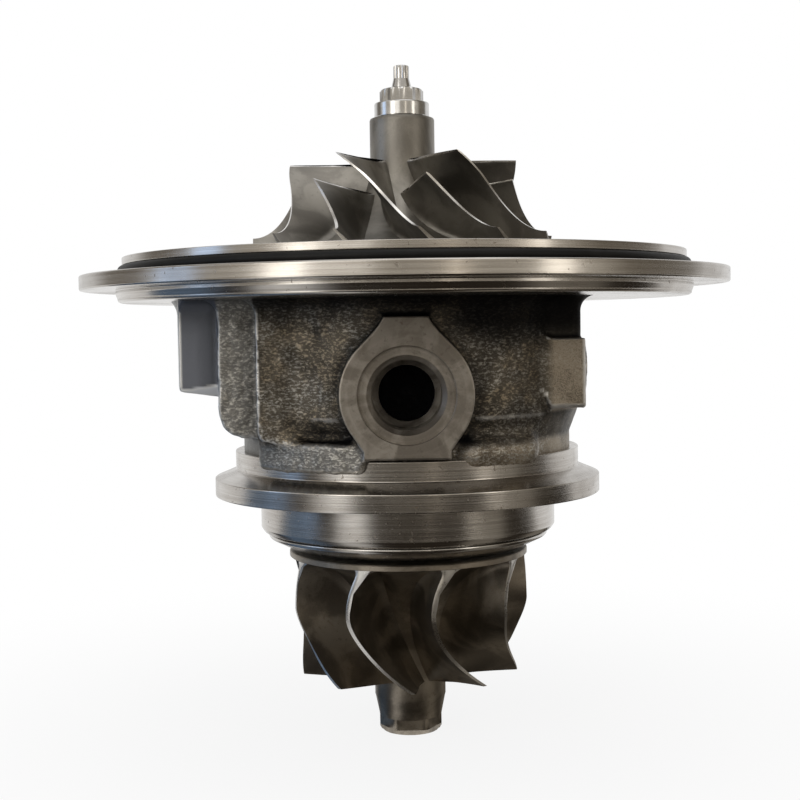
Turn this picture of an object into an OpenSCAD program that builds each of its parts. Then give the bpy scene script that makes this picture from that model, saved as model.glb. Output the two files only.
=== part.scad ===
// Turbocharger cartridge: bearing housing with its rotor, bearings and seals.
// The shaft lies on Z with the compressor wheel up. Z = 0 is the face that seats on the turbine housing.

/* [Compressor flange] */
// Diameter of the flange rim
flange_d = 135.4; // [130:0.2:142]
// Thickness of the flange rim
flange_t = 3; // [2.4:0.1:4]
// Height of the flange's seat face above the turbine seat
flange_z = 46; // [46:0.1:48]
// Diameter of the spigot that centres the compressor cover
spigot_d = 118; // [114:0.2:120]
// Height of the spigot above the flange's seat face
spigot_h = 3.7; // [3.6:0.1:4.5]
// Diameter of the step under the flange
step_d = 120.8; // [112:0.2:124]
// Height of the step under the flange
step_h = 2.5; // [1.5:0.1:3]

/* [Turbine flange] */
// Diameter of the clamp rim
rim_d = 81.6; // [79:0.2:88]
// Thickness of the clamp rim
rim_t = 3.6; // [3:0.1:4]
// Diameter of the collar above the rim
collar_d = 72.8; // [71:0.2:74]
// Height of the sloping clamp face
clamp_h = 1.8; // [1.2:0.1:2.2]
// Height of the machined collar
collar_h = 3.9; // [3:0.1:4.5]
// Diameter of the pilot inside the turbine housing
pilot_d = 62.6; // [61:0.2:66]
// Length of the pilot
pilot_h = 7.9; // [7:0.1:8.2]

/* [Casting] */
// Diameter of the cast barrel
barrel_d = 72.6; // [70:0.2:74]
// Diameter of the waist above the collar
waist_d = 69.4; // [67:0.2:70]
// Width of the drain boss across the shaft
drain_boss_w = 52; // [48:0.5:56]
// Distance of the drain boss's cheek from the shaft
drain_boss_x = 36.8; // [36:0.1:38]
// Width of the drain flange across the shaft
drain_flange_w = 44; // [42:0.5:46]
// Distance of the drain flange's face from the shaft
drain_flange_x = 45.2; // [44:0.1:48]
// Bottom of the drain flange above the turbine seat
drain_flange_z = 22.5; // [21:0.1:23]
// Width of the front and rear cheeks across the shaft
cheek_w = 60; // [58:0.5:62]
// Distance of the cheek's edge from the shaft
cheek_x = 29; // [27:0.1:31]
// Width of the feed block across the shaft
feed_block_w = 48; // [46:0.5:50]
// Distance of the feed block's side from the shaft
feed_block_x = 35.4; // [35:0.1:36]
// Distance of the feed boss's face from the shaft
feed_face_x = 38; // [37.4:0.1:40]
// Diameter of the feed boss
feed_boss_d = 13; // [12:0.2:13.4]

/* [Ports] */
// Distance of the coolant port faces from the shaft
port_face_y = 38.5; // [38:0.1:41]
// Height of the front coolant port above the turbine seat
port_z = 21.9; // [21:0.1:23]
// Height of the rear coolant port above the front one
rear_port_rise = 2; // [1.5:0.1:2.5]
// Diameter of the machined coolant port face
port_face_d = 25.5; // [23:0.1:27]
// Diameter of the coolant port's washer recess
port_recess_d = 18.6; // [16.5:0.1:20]
// Diameter of the coolant port's thread bore
port_bore_d = 13.4; // [11:0.1:14.2]
// Diameter of the oil feed's thread bore
feed_bore_d = 8.8; // [7.5:0.1:9.5]
// Diameter of the oil drain bore
drain_bore_d = 13; // [11:0.1:14]
// Diameter of the drain flange's thread bores
drain_bolt_d = 5; // [4.2:0.1:6.8]
// Distance between the drain flange's thread bores
drain_bolt_gap = 32; // [28:0.2:34]

/* [Compressor wheel] */
// Diameter of the wheel at its outlet
comp_d = 64; // [62:0.2:66]
// Diameter of the wheel at its inlet
comp_inlet_d = 48; // [45:0.2:50]
// Diameter of the hub's nose
comp_hub_d = 13.7; // [13:0.1:15]
// Height of the wheel from its seat to the top of the hub
comp_h = 29.8; // [28:0.1:31]
// Height of the full blades above the wheel's seat
comp_blade_h = 20.5; // [19.5:0.1:22]
// Width of the blades at the outlet
comp_outlet_w = 3.8; // [3:0.1:4.5]
// Number of full blades
comp_blades = 6; // [5:1:7]

/* [Turbine wheel] */
// Diameter of the wheel at its inlet
turb_d = 50.8; // [49:0.2:52]
// Diameter of the wheel at its outlet
turb_outlet_d = 46.2; // [44:0.2:48]
// Length of the blades along the shaft
turb_blade_h = 25.1; // [24:0.1:27]
// Height of the blades' inlet edge
turb_inlet_w = 10.1; // [9:0.1:11]
// Diameter of the hub's nose
turb_hub_d = 15.2; // [14:0.1:17]
// Number of blades
turb_blades = 9; // [8:1:11]
// Size across the flats of the nose hexagon
nose_hex = 11.8; // [10.5:0.1:12.4]

/* [Shaft and bearings] */
// Diameter of the shaft's journals
journal_d = 8; // [7:0.1:9]
// Diameter of the shaft's compressor end
stub_d = 5; // [4.4:0.1:5.6]
// Outer diameter of the floating bushes
bush_d = 13.9; // [12.6:0.1:14.6]
// Length of each floating bush
bush_h = 9; // [8:0.1:9]
// Diameter of the thrust faces
thrust_d = 18.4; // [17:0.2:20]
// Thickness of the thrust bearing
thrust_t = 3.5; // [3:0.1:4]
// Diameter of the thrust bearing
thrust_bearing_d = 38; // [36:0.2:40]
// Diameter of the sleeve's sealing neck
sleeve_d = 14.8; // [14:0.1:16]
// Diameter of the turbine wheel's sealing neck
turb_neck_d = 17.2; // [16.5:0.1:18.5]
// Diameter of the seal plate
seal_plate_d = 51; // [49:0.2:53]
// Size across the nut's points
nut_points_d = 9.2; // [8.6:0.1:10]
// Diameter of the nut's collar
nut_collar_d = 11.6; // [10.5:0.1:12.6]

/* [Seals and fits] */
// Section of the cover O-ring
cover_ring_t = 2; // [1.6:0.1:2.2]
// Section of the seal plate's O-ring
plate_ring_t = 1.8; // [1.4:0.1:2]
// Thickness of the heat shield's sheet
shield_t = 0.8; // [0.6:0.1:1]
// Radial clearance of a running fit
running_gap = 0.05; // [0.03:0.01:0.08]
// Radial clearance of a seated piece
seat_gap = 0.1; // [0.05:0.01:0.15]

/* [Hidden] */
$fn = 64;

// Heights along the shaft, from the turbine end up
pilot_z = -pilot_h;
pilot_chamfer = 0.9;
shield_lip = 0.5;
shield_z = pilot_z - shield_lip;
shield_depth = 3.1;
shield_floor_z = shield_z - shield_depth;
wheel_gap = 0.8;
turb_back_z = shield_floor_z - wheel_gap;
turb_disc_t = 1.2;
turb_blade_z = turb_back_z - turb_disc_t;
turb_outlet_z = turb_blade_z - turb_blade_h;
turb_nose_h = 13.3;
turb_nose_z = turb_outlet_z - turb_nose_h;
neck_top_z = -1.5;
slinger_h = 3.7;
slinger_z = neck_top_z + slinger_h;
turb_bush_z = slinger_z + 1.8;
comp_bush_z = 22.5;
bearing_top_z = comp_bush_z + bush_h + 0.5;
shoulder_z = bearing_top_z + 1;
collar_t = 2.6;
thrust_gap = 0.1;
thrust_z = shoulder_z + collar_t + thrust_gap;
deflector_t = 0.8;
deflector_z = thrust_z + thrust_t;
plate_z = deflector_z + deflector_t;
spigot_z = flange_z + spigot_h;
wheel_recess = 0.9;
recess_z = spigot_z - wheel_recess;
comp_z = recess_z + 0.2;
comp_top_z = comp_z + comp_h;
nut_collar_h = 3.2;
nut_points_h = 3;
nut_z = comp_top_z;
nut_top_z = nut_z + nut_collar_h + nut_points_h;
stub_top_z = nut_top_z + 0.5;
tip_h = 4.4;
tip_d = 3.4;
rim_z = rim_t;
collar_z = rim_z + clamp_h;
collar_top_z = collar_z + collar_h;
flange_low_z = flange_z - flange_t;
step_z = flange_low_z - step_h;

// Walls and cavities of the housing
edge = 0.6;
seat_relief = 0.3;
cast_fillet = 3.2;
drain_corner = 5;
drain_boss_z = 13.4;
cheek_z = 12.4;
feed_block_z = 18.3;
feed_block_h = 13.8;
feed_bevel = 4;
feed_z = feed_block_z + feed_block_h / 2;
port_foot_w = 16.4;
port_foot_z = collar_top_z + 0.5;
port_foot_h = 1.6;
port_hip_w = 21.6;
port_shoulder_w = 14;
port_neck_w = 8;
port_neck_z = step_z - 3;
port_recess_h = 1.2;
port_chamfer = 0.9;
lobe_d = collar_d + 1.6;
lobe_h = 4.6;
lobe_z = collar_z + 2.2;
jacket_in_d = 30;
jacket_out_d = 56;
jacket_z = 10.5;
jacket_h = 20.5;
jacket_sweep = 280;
feed_rib_w = 10;
gallery_d = 3;
cross_drill_d = 2.4;
gallery_x = bush_d / 2 + 5;
feed_drill_d = 4;
feed_bore_h = 9;
drain_z = (drain_flange_z + step_z) / 2 - 1.6;
drain_well_x = 24;
drain_well_in = 9.5;
drain_well_w = drain_bore_d + 1;
drain_well_z = 0.2;
drain_bolt_h = 9;
slinger_room = 1.6;
nose_boss_d = turb_neck_d + 10;
shield_pocket_d = 46;
shield_pocket_h = 4.4;
circlip_t = 1.2;
circlip_w = 4.3;
circlip_gap = 0.05;
circlip_z = plate_z + 5.6;
plate_step_d = seal_plate_d - 2 * circlip_w + 1.2;
ring_t = 1.5;
ring_w = 1.2;
ring_side_gap = 0.05;
comp_ring_z = plate_z + 5.1;
turb_ring_z = pilot_z + 1.4;
pin_d = 2.5;
pin_pitch_d = 30;
pin_depth = 3;
retainer_t = 1.1;
retainer_w = 2;

// Blade skins
blade_steps = 12;
blade_spans = 4;
root_sink = 0.06;
comp_tip_t = 0.65;
comp_root_t = 1.7;
comp_disc_t = 0.7;
comp_first = -33.5;
comp_wrap = 38.5;
comp_lean_in = -9;
comp_lean_out = 7;
comp_straight = 0.3;
splitter_start = 0.23;
turb_tip_t = 0.9;
turb_root_t = 2.6;
turb_first = -29.3;
turb_wrap_in = 8.6;
turb_wrap_out = 30.5;

iron = [0.36, 0.34, 0.31];
steel = [0.72, 0.71, 0.69];
bright = [0.85, 0.84, 0.82];
bronze = [0.72, 0.55, 0.30];
alloy = [0.48, 0.46, 0.43];
heat_alloy = [0.27, 0.25, 0.23];
black = [0.06, 0.06, 0.06];

function mix(a, b, t) = a + (b - a) * t;

// A revolved ring between two diameters
module ring(outer_d, inner_d, z, h) {
    translate([0, 0, z])
        difference() {
            cylinder(d = outer_d, h = h);
            translate([0, 0, -1])
                cylinder(d = inner_d, h = h + 2);
        }
}

// A round cut that is open at both of its ends
module drill(d, z, h) {
    translate([0, 0, z])
        cylinder(d = d, h = h);
}

// A ring that is cut open on one side
module split_ring(outer_d, inner_d, z, h, gap_w) {
    difference() {
        ring(outer_d, inner_d, z, h);
        translate([inner_d / 4, -gap_w / 2, z - 1])
            cube([outer_d, gap_w, h + 2]);
    }
}

// A closed blade between two sides of a skin given by chord and span
module lofted_blade(skin) {
    row = blade_spans + 1;
    sheet = (blade_steps + 1) * row;
    function spot(side, i, j) = side * sheet + i * row + j;
    function quad(a, b, c, d) = [[a, b, c], [a, c, d]];
    points = [for (side = [0, 1]) for (i = [0 : blade_steps]) for (j = [0 : blade_spans])
        skin(i / blade_steps, mix(-root_sink, 1, j / blade_spans), 2 * side - 1)];
    sides = [for (i = [0 : blade_steps - 1]) for (j = [0 : blade_spans - 1])
        each concat(
            quad(spot(0, i, j), spot(0, i, j + 1), spot(0, i + 1, j + 1), spot(0, i + 1, j)),
            quad(spot(1, i, j), spot(1, i + 1, j), spot(1, i + 1, j + 1), spot(1, i, j + 1)))];
    edges = [for (i = [0 : blade_steps - 1])
        each concat(
            quad(spot(0, i, 0), spot(0, i + 1, 0), spot(1, i + 1, 0), spot(1, i, 0)),
            quad(spot(0, i, blade_spans), spot(1, i, blade_spans),
                spot(1, i + 1, blade_spans), spot(0, i + 1, blade_spans)))];
    ends = [for (j = [0 : blade_spans - 1])
        each concat(
            quad(spot(0, 0, j), spot(1, 0, j), spot(1, 0, j + 1), spot(0, 0, j + 1)),
            quad(spot(0, blade_steps, j), spot(0, blade_steps, j + 1),
                spot(1, blade_steps, j + 1), spot(1, blade_steps, j)))];
    polyhedron(points = points, faces = concat(sides, edges, ends));
}

// A point at a radius and height, turned from the front by an angle and shifted across by half a wall
function on_wheel(r, z, angle, shift) =
    let (turn = angle + shift / r * 180 / PI)
    [r * sin(turn), -r * cos(turn), z];

// Hub and shroud lines of the compressor wheel, from inlet to outlet
comp_r = comp_d / 2;
comp_hub_r = comp_hub_d / 2;
comp_inlet_r = comp_inlet_d / 2;
comp_blade_z = comp_z + comp_blade_h;
comp_floor_z = comp_z + 0.3 + comp_disc_t;
comp_bend_h = 11.1;
comp_bend_z = comp_floor_z + comp_outlet_w + comp_bend_h;
comp_edge_gap = 0.1;
function comp_hub_line(u) = [
    mix(comp_hub_r, comp_r - comp_edge_gap, 1 - cos(90 * u)),
    mix(comp_blade_z, comp_floor_z, sin(90 * u))];
function comp_shroud_line(u) =
    let (bend = (u * (1 + comp_straight) - comp_straight))
    bend < 0
        ? [comp_inlet_r, mix(comp_bend_z, comp_blade_z, -bend / comp_straight)]
        : [mix(comp_inlet_r, comp_r - comp_edge_gap, 1 - cos(90 * bend)),
            comp_bend_z - comp_bend_h * sin(90 * bend)];
function comp_turn(u, s) =
    comp_first + comp_wrap * (1 - pow(1 - u, 1.8)) + (1 - s) * mix(comp_lean_in, comp_lean_out, u);
function comp_wall(u, s) = mix(comp_root_t, comp_tip_t, pow(max(s, 0), 0.6)) * mix(0.75, 1, min(1, 4 * u));
function comp_point(u, s, side) =
    let (p = mix(comp_hub_line(u), comp_shroud_line(u), s))
    on_wheel(p[0], p[1], comp_turn(u, s), side * comp_wall(u, s) / 2);

// Hub and shroud lines of the turbine wheel, from inlet to outlet
turb_r = turb_d / 2;
turb_hub_r = turb_hub_d / 2;
turb_outlet_r = turb_outlet_d / 2;
turb_hub_end_z = turb_outlet_z - 1.6;
turb_edge_gap = 0.1;
function turb_hub_line(u) = [
    mix(turb_r - turb_edge_gap, turb_hub_r, sin(90 * u)),
    mix(turb_blade_z, turb_hub_end_z, 1 - cos(90 * u))];
function turb_shroud_line(u) = [
    mix(turb_r, turb_outlet_r, pow(sin(90 * u), 1.4)) - 0.5 * pow(sin(180 * u), 2),
    mix(turb_blade_z - turb_inlet_w, turb_outlet_z, u)];
function turb_turn(z) =
    let (low = turb_blade_z - turb_inlet_w + 0.9, down = (low - z) / (low - turb_outlet_z),
        up = (z - low) / (turb_blade_z - low))
    turb_first + (z < low ? turb_wrap_out * down * down : turb_wrap_in * up * up);
function turb_wall(s) = mix(turb_tip_t, turb_root_t, pow(1 - max(s, 0), 4));
function turb_point(u, s, side) =
    let (p = mix(turb_hub_line(u), turb_shroud_line(u), s))
    on_wheel(p[0], p[1], turb_turn(p[1]), side * turb_wall(s) / 2);

// Points of an arc about a centre, from one angle to another
arc_steps = 12;
function arc(x, y, r, from, to) = [for (i = [0 : arc_steps])
    let (a = mix(from, to, i / arc_steps)) [x + r * cos(a), y + r * sin(a)]];

// Outline of a cast block in X and Z, rounded below and blended into the flange above
module block_outline(reach, low, corner) {
    top = step_z + edge;
    polygon(concat(
        [[0, top], [0, low]],
        arc(-reach + corner, low + corner, corner, 270, 180),
        arc(-reach - cast_fillet, step_z - cast_fillet, cast_fillet, 0, 90),
        [[-reach - cast_fillet, top]]));
}

module cast_block(reach, low, corner, width) {
    rotate([90, 0, 0])
        linear_extrude(height = width, center = true)
            block_outline(reach, low, corner);
}

// Block under the oil feed, with its lower inner corners cut off
module feed_block() {
    translate([0, 0, feed_block_z])
        rotate([90, 0, 90])
            linear_extrude(height = feed_block_x)
                polygon([[-feed_block_w / 2 + feed_bevel, 0], [feed_block_w / 2 - feed_bevel, 0],
                    [feed_block_w / 2, feed_bevel], [feed_block_w / 2, feed_block_h],
                    [-feed_block_w / 2, feed_block_h], [-feed_block_w / 2, feed_bevel]]);
    translate([0, 0, feed_z])
        rotate([0, 90, 0])
            cylinder(d = feed_boss_d, h = feed_face_x);
}

// Keyhole face of a coolant port at a height, in X and Z about the port's centre
module port_outline(z) {
    r = port_face_d / 2;
    foot_z = port_foot_z - z;
    neck_z = port_neck_z - z;
    foot_turn = acos(port_hip_w / port_face_d);
    neck_turn = acos(port_shoulder_w / port_face_d);
    polygon(concat(
        [[-port_foot_w / 2, foot_z], [port_foot_w / 2, foot_z], [port_foot_w / 2, foot_z + port_foot_h]],
        arc(0, 0, r, -foot_turn, neck_turn),
        [[port_neck_w / 2, neck_z], [-port_neck_w / 2, neck_z]],
        arc(0, 0, r, 180 - neck_turn, 180 + foot_turn),
        [[-port_foot_w / 2, foot_z + port_foot_h]]));
}

module port_boss(z) {
    translate([0, -jacket_in_d / 2 - 5, z])
        rotate([90, 0, 0])
            linear_extrude(height = port_face_y - jacket_in_d / 2 - 5)
                port_outline(z);
}

module port_cut(z) {
    bore_r = port_bore_d / 2;
    translate([0, -port_face_y, z])
        rotate([-90, 0, 0])
            rotate_extrude()
                polygon([[0, -1], [port_recess_d / 2, -1], [port_recess_d / 2, port_recess_h],
                    [bore_r + port_chamfer, port_recess_h], [bore_r, port_recess_h + port_chamfer],
                    [bore_r, port_face_y - jacket_out_d / 2 + 3], [0, port_face_y - jacket_out_d / 2 + 3]]);
}

// Swell of the casting beside the foot of a coolant port
module lobe(from, sweep) {
    inner_r = waist_d / 2 - 6;
    rotate([0, 0, from])
        rotate_extrude(angle = sweep)
            polygon(concat(
                [[inner_r, lobe_z + lobe_h], [inner_r, lobe_z]],
                arc(lobe_d / 2 - lobe_h / 2, lobe_z + lobe_h / 2, lobe_h / 2, -90, 90)));
}

// Turned outline of the housing: pilot, clamp rim, collar, barrel and flange
module housing_turned() {
    barrel_low_z = drain_boss_z + 4;
    groove_r = spigot_d / 2 - cover_ring_t * 0.55;
    seat_r = groove_r + cover_ring_t + 2 * seat_relief;
    rotate_extrude($fn = 96)
        polygon(concat([[0, pilot_z - shield_lip], [shield_pocket_d / 2 + 4, pilot_z - shield_lip],
            [shield_pocket_d / 2 + 4, pilot_z], [pilot_d / 2 - edge, pilot_z],
            [pilot_d / 2, pilot_z + pilot_chamfer], [pilot_d / 2, 0],
            [rim_d / 2 - edge / 2, 0], [rim_d / 2, edge / 2], [rim_d / 2, rim_z - edge / 2],
            [rim_d / 2 - edge / 2, rim_z], [collar_d / 2, collar_z], [collar_d / 2, collar_top_z],
            [waist_d / 2, collar_top_z + 1], [waist_d / 2, collar_top_z + 3.5],
            [barrel_d / 2, barrel_low_z]],
            arc(barrel_d / 2 + cast_fillet, step_z - cast_fillet, cast_fillet, 180, 90),
            [[step_d / 2 - edge, step_z], [step_d / 2, step_z + edge], [step_d / 2, flange_low_z],
            [flange_d / 2 - edge, flange_low_z], [flange_d / 2, flange_low_z + edge],
            [flange_d / 2, flange_z - edge], [flange_d / 2 - edge, flange_z],
            [seat_r, flange_z], [seat_r, flange_z - seat_relief], [groove_r, flange_z - seat_relief],
            [groove_r, flange_z + cover_ring_t + seat_gap],
            [spigot_d / 2, flange_z + cover_ring_t + seat_gap],
            [spigot_d / 2, spigot_z - edge / 2], [spigot_d / 2 - edge / 2, spigot_z], [0, spigot_z]]));
    translate([0, 0, pilot_z - shield_lip - 2.6])
        cylinder(d = nose_boss_d, h = 3);
}

// Stepped bore of the housing along the shaft
module housing_bore() {
    top = spigot_z - pilot_z;
    drill(turb_neck_d + 4 * seat_gap, shield_floor_z - 1, neck_top_z - shield_floor_z + 2);
    drill(turb_neck_d + 2 * slinger_room, neck_top_z + 0.5, slinger_h - 1.1);
    drill(bush_d + 2 * running_gap, 0, bearing_top_z + 0.5);
    drill(thrust_d + 2.4, bearing_top_z + 0.3, thrust_z);
    drill(thrust_bearing_d + 2 * seat_gap, thrust_z, top);
    drill(seal_plate_d + 2 * seat_gap, plate_z, top);
    drill(comp_d + 1.2, recess_z, top);
    drill(seal_plate_d + 2 * seat_gap + 2.8, circlip_z - circlip_gap, circlip_t + 2 * circlip_gap);
    for (z = retainer_heights)
        drill(bush_d + 2 * running_gap + 1.4, z - circlip_gap, retainer_t + 2 * circlip_gap);
    difference() {
        drill(shield_pocket_d, pilot_z - shield_lip - 5, 5 + shield_pocket_h);
        drill(nose_boss_d, pilot_z - shield_lip - 6, 20);
    }
    for (side = [-1, 1])
        translate([0, side * pin_pitch_d / 2, thrust_z - pin_depth])
            cylinder(d = pin_d + seat_gap, h = pin_depth + 1);
}

retainer_heights = [turb_bush_z - retainer_t - 0.4, turb_bush_z + bush_h + 0.4, comp_bush_z - retainer_t - 0.4];

// Coolant space around the bearings, open to both coolant ports
module coolant_jacket() {
    difference() {
        rotate([0, 0, -jacket_sweep / 2])
            rotate_extrude(angle = jacket_sweep)
                translate([jacket_in_d / 2, jacket_z])
                    square([(jacket_out_d - jacket_in_d) / 2, jacket_h]);
        translate([0, -feed_rib_w / 2, feed_z - feed_rib_w / 2])
            cube([jacket_out_d, feed_rib_w, jacket_h]);
    }
}

// Oil feed from the side port to both bushes and the thrust bearing
module oil_feed() {
    translate([feed_face_x - feed_bore_h, 0, feed_z])
        rotate([0, 90, 0])
            cylinder(d = feed_bore_d, h = feed_bore_h + 1);
    translate([gallery_x, 0, feed_z])
        rotate([0, 90, 0])
            cylinder(d = feed_drill_d, h = feed_face_x - feed_bore_h - gallery_x + 1);
    translate([gallery_x, 0, turb_bush_z + bush_h / 2])
        cylinder(d = gallery_d, h = thrust_z - turb_bush_z);
    for (z = [turb_bush_z, comp_bush_z])
        translate([0, 0, z + bush_h / 2])
            rotate([0, 90, 0])
                cylinder(d = cross_drill_d, h = gallery_x);
}

// Oil return from the bearings to the drain flange
module oil_drain() {
    translate([-drain_well_x, -drain_well_w / 2, drain_well_z])
        cube([drain_well_x - drain_well_in, drain_well_w, thrust_z - drain_well_z + 1]);
    slot_low = turb_bush_z + bush_h + 2;
    translate([-drain_well_in - 1, -drain_well_w / 4, slot_low])
        cube([drain_well_in + 1, drain_well_w / 2, comp_bush_z - slot_low - 2]);
    translate([-drain_flange_x - 1, 0, drain_z])
        rotate([0, 90, 0])
            cylinder(d = drain_bore_d, h = drain_flange_x - drain_well_x + 2);
    for (side = [-1, 1])
        translate([-drain_flange_x - 1, side * drain_bolt_gap / 2, drain_z])
            rotate([0, 90, 0])
                cylinder(d = drain_bolt_d, h = drain_bolt_h + 1);
}

module bearing_housing() {
    color(iron)
        difference() {
            union() {
                housing_turned();
                cast_block(cheek_x, cheek_z, 2, cheek_w);
                cast_block(drain_boss_x, drain_boss_z, drain_corner, drain_boss_w);
                cast_block(drain_flange_x, drain_flange_z, 1, drain_flange_w);
                feed_block();
                for (turn = [0, 180])
                    rotate([0, 0, turn]) {
                        port_boss(port_z + rear_port_rise * turn / 180);
                        lobe(200, 52);
                        lobe(288, 52);
                    }
            }
            housing_bore();
            coolant_jacket();
            oil_feed();
            oil_drain();
            for (turn = [0, 180])
                rotate([0, 0, turn])
                    port_cut(port_z + rear_port_rise * turn / 180);
        }
}

module cover_o_ring() {
    color(black)
        rotate_extrude($fn = 96)
            translate([spigot_d / 2 - cover_ring_t * 0.55 + cover_ring_t / 2 + seat_gap / 2,
                    flange_z + (cover_ring_t + seat_gap) / 2])
                circle(d = cover_ring_t);
}

plate_groove_z = plate_z + 2.2;
plate_groove_d = seal_plate_d - 2 * plate_ring_t;

module seal_plate() {
    color(steel)
        difference() {
            union() {
                drill(seal_plate_d, plate_z, circlip_z - plate_z);
                drill(plate_step_d, plate_z, recess_z - 0.2 - plate_z);
            }
            drill(sleeve_d + 6 * seat_gap, plate_z - 1, recess_z);
            drill(thrust_d + 11, plate_z - 1, 3.4);
            ring(seal_plate_d + 2, plate_groove_d, plate_groove_z, plate_ring_t + seat_gap);
        }
}

module seal_plate_o_ring() {
    color(black)
        rotate_extrude()
            translate([plate_groove_d / 2 + plate_ring_t / 2 + seat_gap / 2,
                    plate_groove_z + (plate_ring_t + seat_gap) / 2])
                circle(d = plate_ring_t);
}

module seal_plate_circlip() {
    outer_d = seal_plate_d + 2 * seat_gap + 2.6;
    color(steel)
        difference() {
            split_ring(outer_d, outer_d - 2 * circlip_w, circlip_z, circlip_t, 9);
            for (side = [-1, 1])
                translate([outer_d / 2 - circlip_w / 2 - 0.8, side * 6.3, circlip_z - 1])
                    cylinder(d = 1.6, h = circlip_t + 2, $fn = 32);
        }
}

module oil_deflector() {
    tongue_w = 8;
    tongue_h = 8;
    tongue_x = thrust_bearing_d / 2 - 1.2;
    color(steel)
        union() {
            ring(thrust_bearing_d, thrust_d + 2, deflector_z, deflector_t);
            translate([-tongue_x, -tongue_w / 2, deflector_z - tongue_h])
                cube([deflector_t, tongue_w, tongue_h + deflector_t / 2]);
        }
}

module thrust_bearing() {
    notch_w = 10;
    notch_r = thrust_bearing_d / 2 - 5;
    bore_d = 10.6;
    color(bronze)
        difference() {
            ring(thrust_bearing_d, bore_d, thrust_z, thrust_t);
            translate([-thrust_bearing_d, -notch_w / 2, thrust_z - 1])
                cube([thrust_bearing_d - notch_r, notch_w, thrust_t + 2]);
            for (side = [-1, 1])
                translate([0, side * pin_pitch_d / 2, thrust_z - 1])
                    cylinder(d = pin_d + 2 * seat_gap, h = thrust_t + 2);
            translate([gallery_x, 0, thrust_z - 1])
                cylinder(d = gallery_d / 2, h = 1 + thrust_t / 2);
            for (turn = [-90, 0, 90])
                rotate([0, 0, turn])
                    translate([bore_d / 2 - 1, -0.5, thrust_z + thrust_t - 0.5])
                        cube([thrust_d / 2 - bore_d / 2, 1, 1]);
        }
}

module thrust_pins() {
    color(steel)
        for (side = [-1, 1])
            translate([0, side * pin_pitch_d / 2, thrust_z - pin_depth])
                cylinder(d = pin_d, h = pin_depth + thrust_t - 0.2);
}

module heat_shield() {
    lip_r = pilot_d / 2 - 1.6;
    dish_r = turb_r - 0.4;
    hole_r = nose_boss_d / 2 + 0.4;
    seat_r = shield_pocket_d / 2 + 3.4;
    color(bright)
        rotate_extrude($fn = 96)
            polygon([[seat_r - 2.6, shield_z], [lip_r, shield_z], [lip_r, shield_z - shield_t * 0.8],
                [dish_r, shield_floor_z], [hole_r, shield_floor_z], [hole_r, shield_floor_z + shield_t],
                [dish_r - 0.6, shield_floor_z + shield_t]]);
}

module compressor_seal_ring() {
    outer_d = sleeve_d + 6 * seat_gap - 0.04;
    color(steel)
        split_ring(outer_d, outer_d - 2 * ring_w, comp_ring_z, ring_t, 0.4);
}

module turbine_seal_ring() {
    outer_d = turb_neck_d + 4 * seat_gap - 0.04;
    color(steel)
        split_ring(outer_d, outer_d - 2 * ring_w, turb_ring_z, ring_t, 0.4);
}

module bush_retaining_rings() {
    outer_d = bush_d + 2 * running_gap + 1.2;
    color(steel)
        for (z = retainer_heights)
            split_ring(outer_d, outer_d - 2 * retainer_w, z, retainer_t, 2.4);
}

module journal_bush(z) {
    holes = 6;
    hole_d = 1.8;
    color(bronze)
        difference() {
            ring(bush_d, journal_d + 2 * running_gap, z, bush_h);
            for (i = [0 : holes - 1])
                translate([0, 0, z + bush_h / 2])
                    rotate([0, 90, i * 360 / holes])
                        cylinder(d = hole_d, h = bush_d, $fn = 32);
        }
}

module compressor_journal_bush() {
    journal_bush(comp_bush_z);
}

module turbine_journal_bush() {
    journal_bush(turb_bush_z);
}

module rotor_shaft() {
    slinger_d = turb_neck_d - 4.6;
    waist_low = turb_bush_z + bush_h + 1;
    waist_high = comp_bush_z - 1;
    journal_r = journal_d / 2;
    flutes = 8;
    color(bright)
        union() {
            rotate_extrude()
                polygon([[0, neck_top_z], [slinger_d / 2, neck_top_z], [slinger_d / 2, slinger_z - 0.6],
                    [journal_r, slinger_z], [journal_r, waist_low], [journal_r - 0.4, waist_low + 0.4],
                    [journal_r - 0.4, waist_high - 0.4], [journal_r, waist_high], [journal_r, shoulder_z],
                    [stub_d / 2, shoulder_z], [stub_d / 2, stub_top_z - 0.4],
                    [tip_d / 2 + 0.4, stub_top_z], [0, stub_top_z]]);
            translate([0, 0, stub_top_z - 0.1])
                linear_extrude(height = tip_h + 0.1)
                    difference() {
                        circle(d = tip_d, $fn = 32);
                        for (i = [0 : flutes - 1])
                            rotate(i * 360 / flutes)
                                translate([tip_d / 2 + 0.12, 0])
                                    circle(d = 0.7, $fn = 16);
                    }
        }
}

module thrust_collar() {
    color(bright)
        ring(thrust_d, stub_d + 2 * running_gap, shoulder_z, collar_t);
}

module flinger_sleeve() {
    inner_d = stub_d + 2 * running_gap;
    neck_d = 10;
    foot_z = shoulder_z + collar_t;
    disc_z = deflector_z + thrust_gap;
    disc_t = 2.2;
    groove_d = sleeve_d + 6 * seat_gap - 2 * ring_w - 0.8;
    color(bright)
        difference() {
            union() {
                drill(neck_d, foot_z, disc_z - foot_z + 1);
                drill(thrust_d, disc_z, disc_t);
                drill(sleeve_d, disc_z, comp_z - disc_z);
            }
            drill(inner_d, foot_z - 1, comp_z);
            ring(sleeve_d + 2, groove_d, comp_ring_z - ring_side_gap, ring_t + 2 * ring_side_gap);
        }
}

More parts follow.
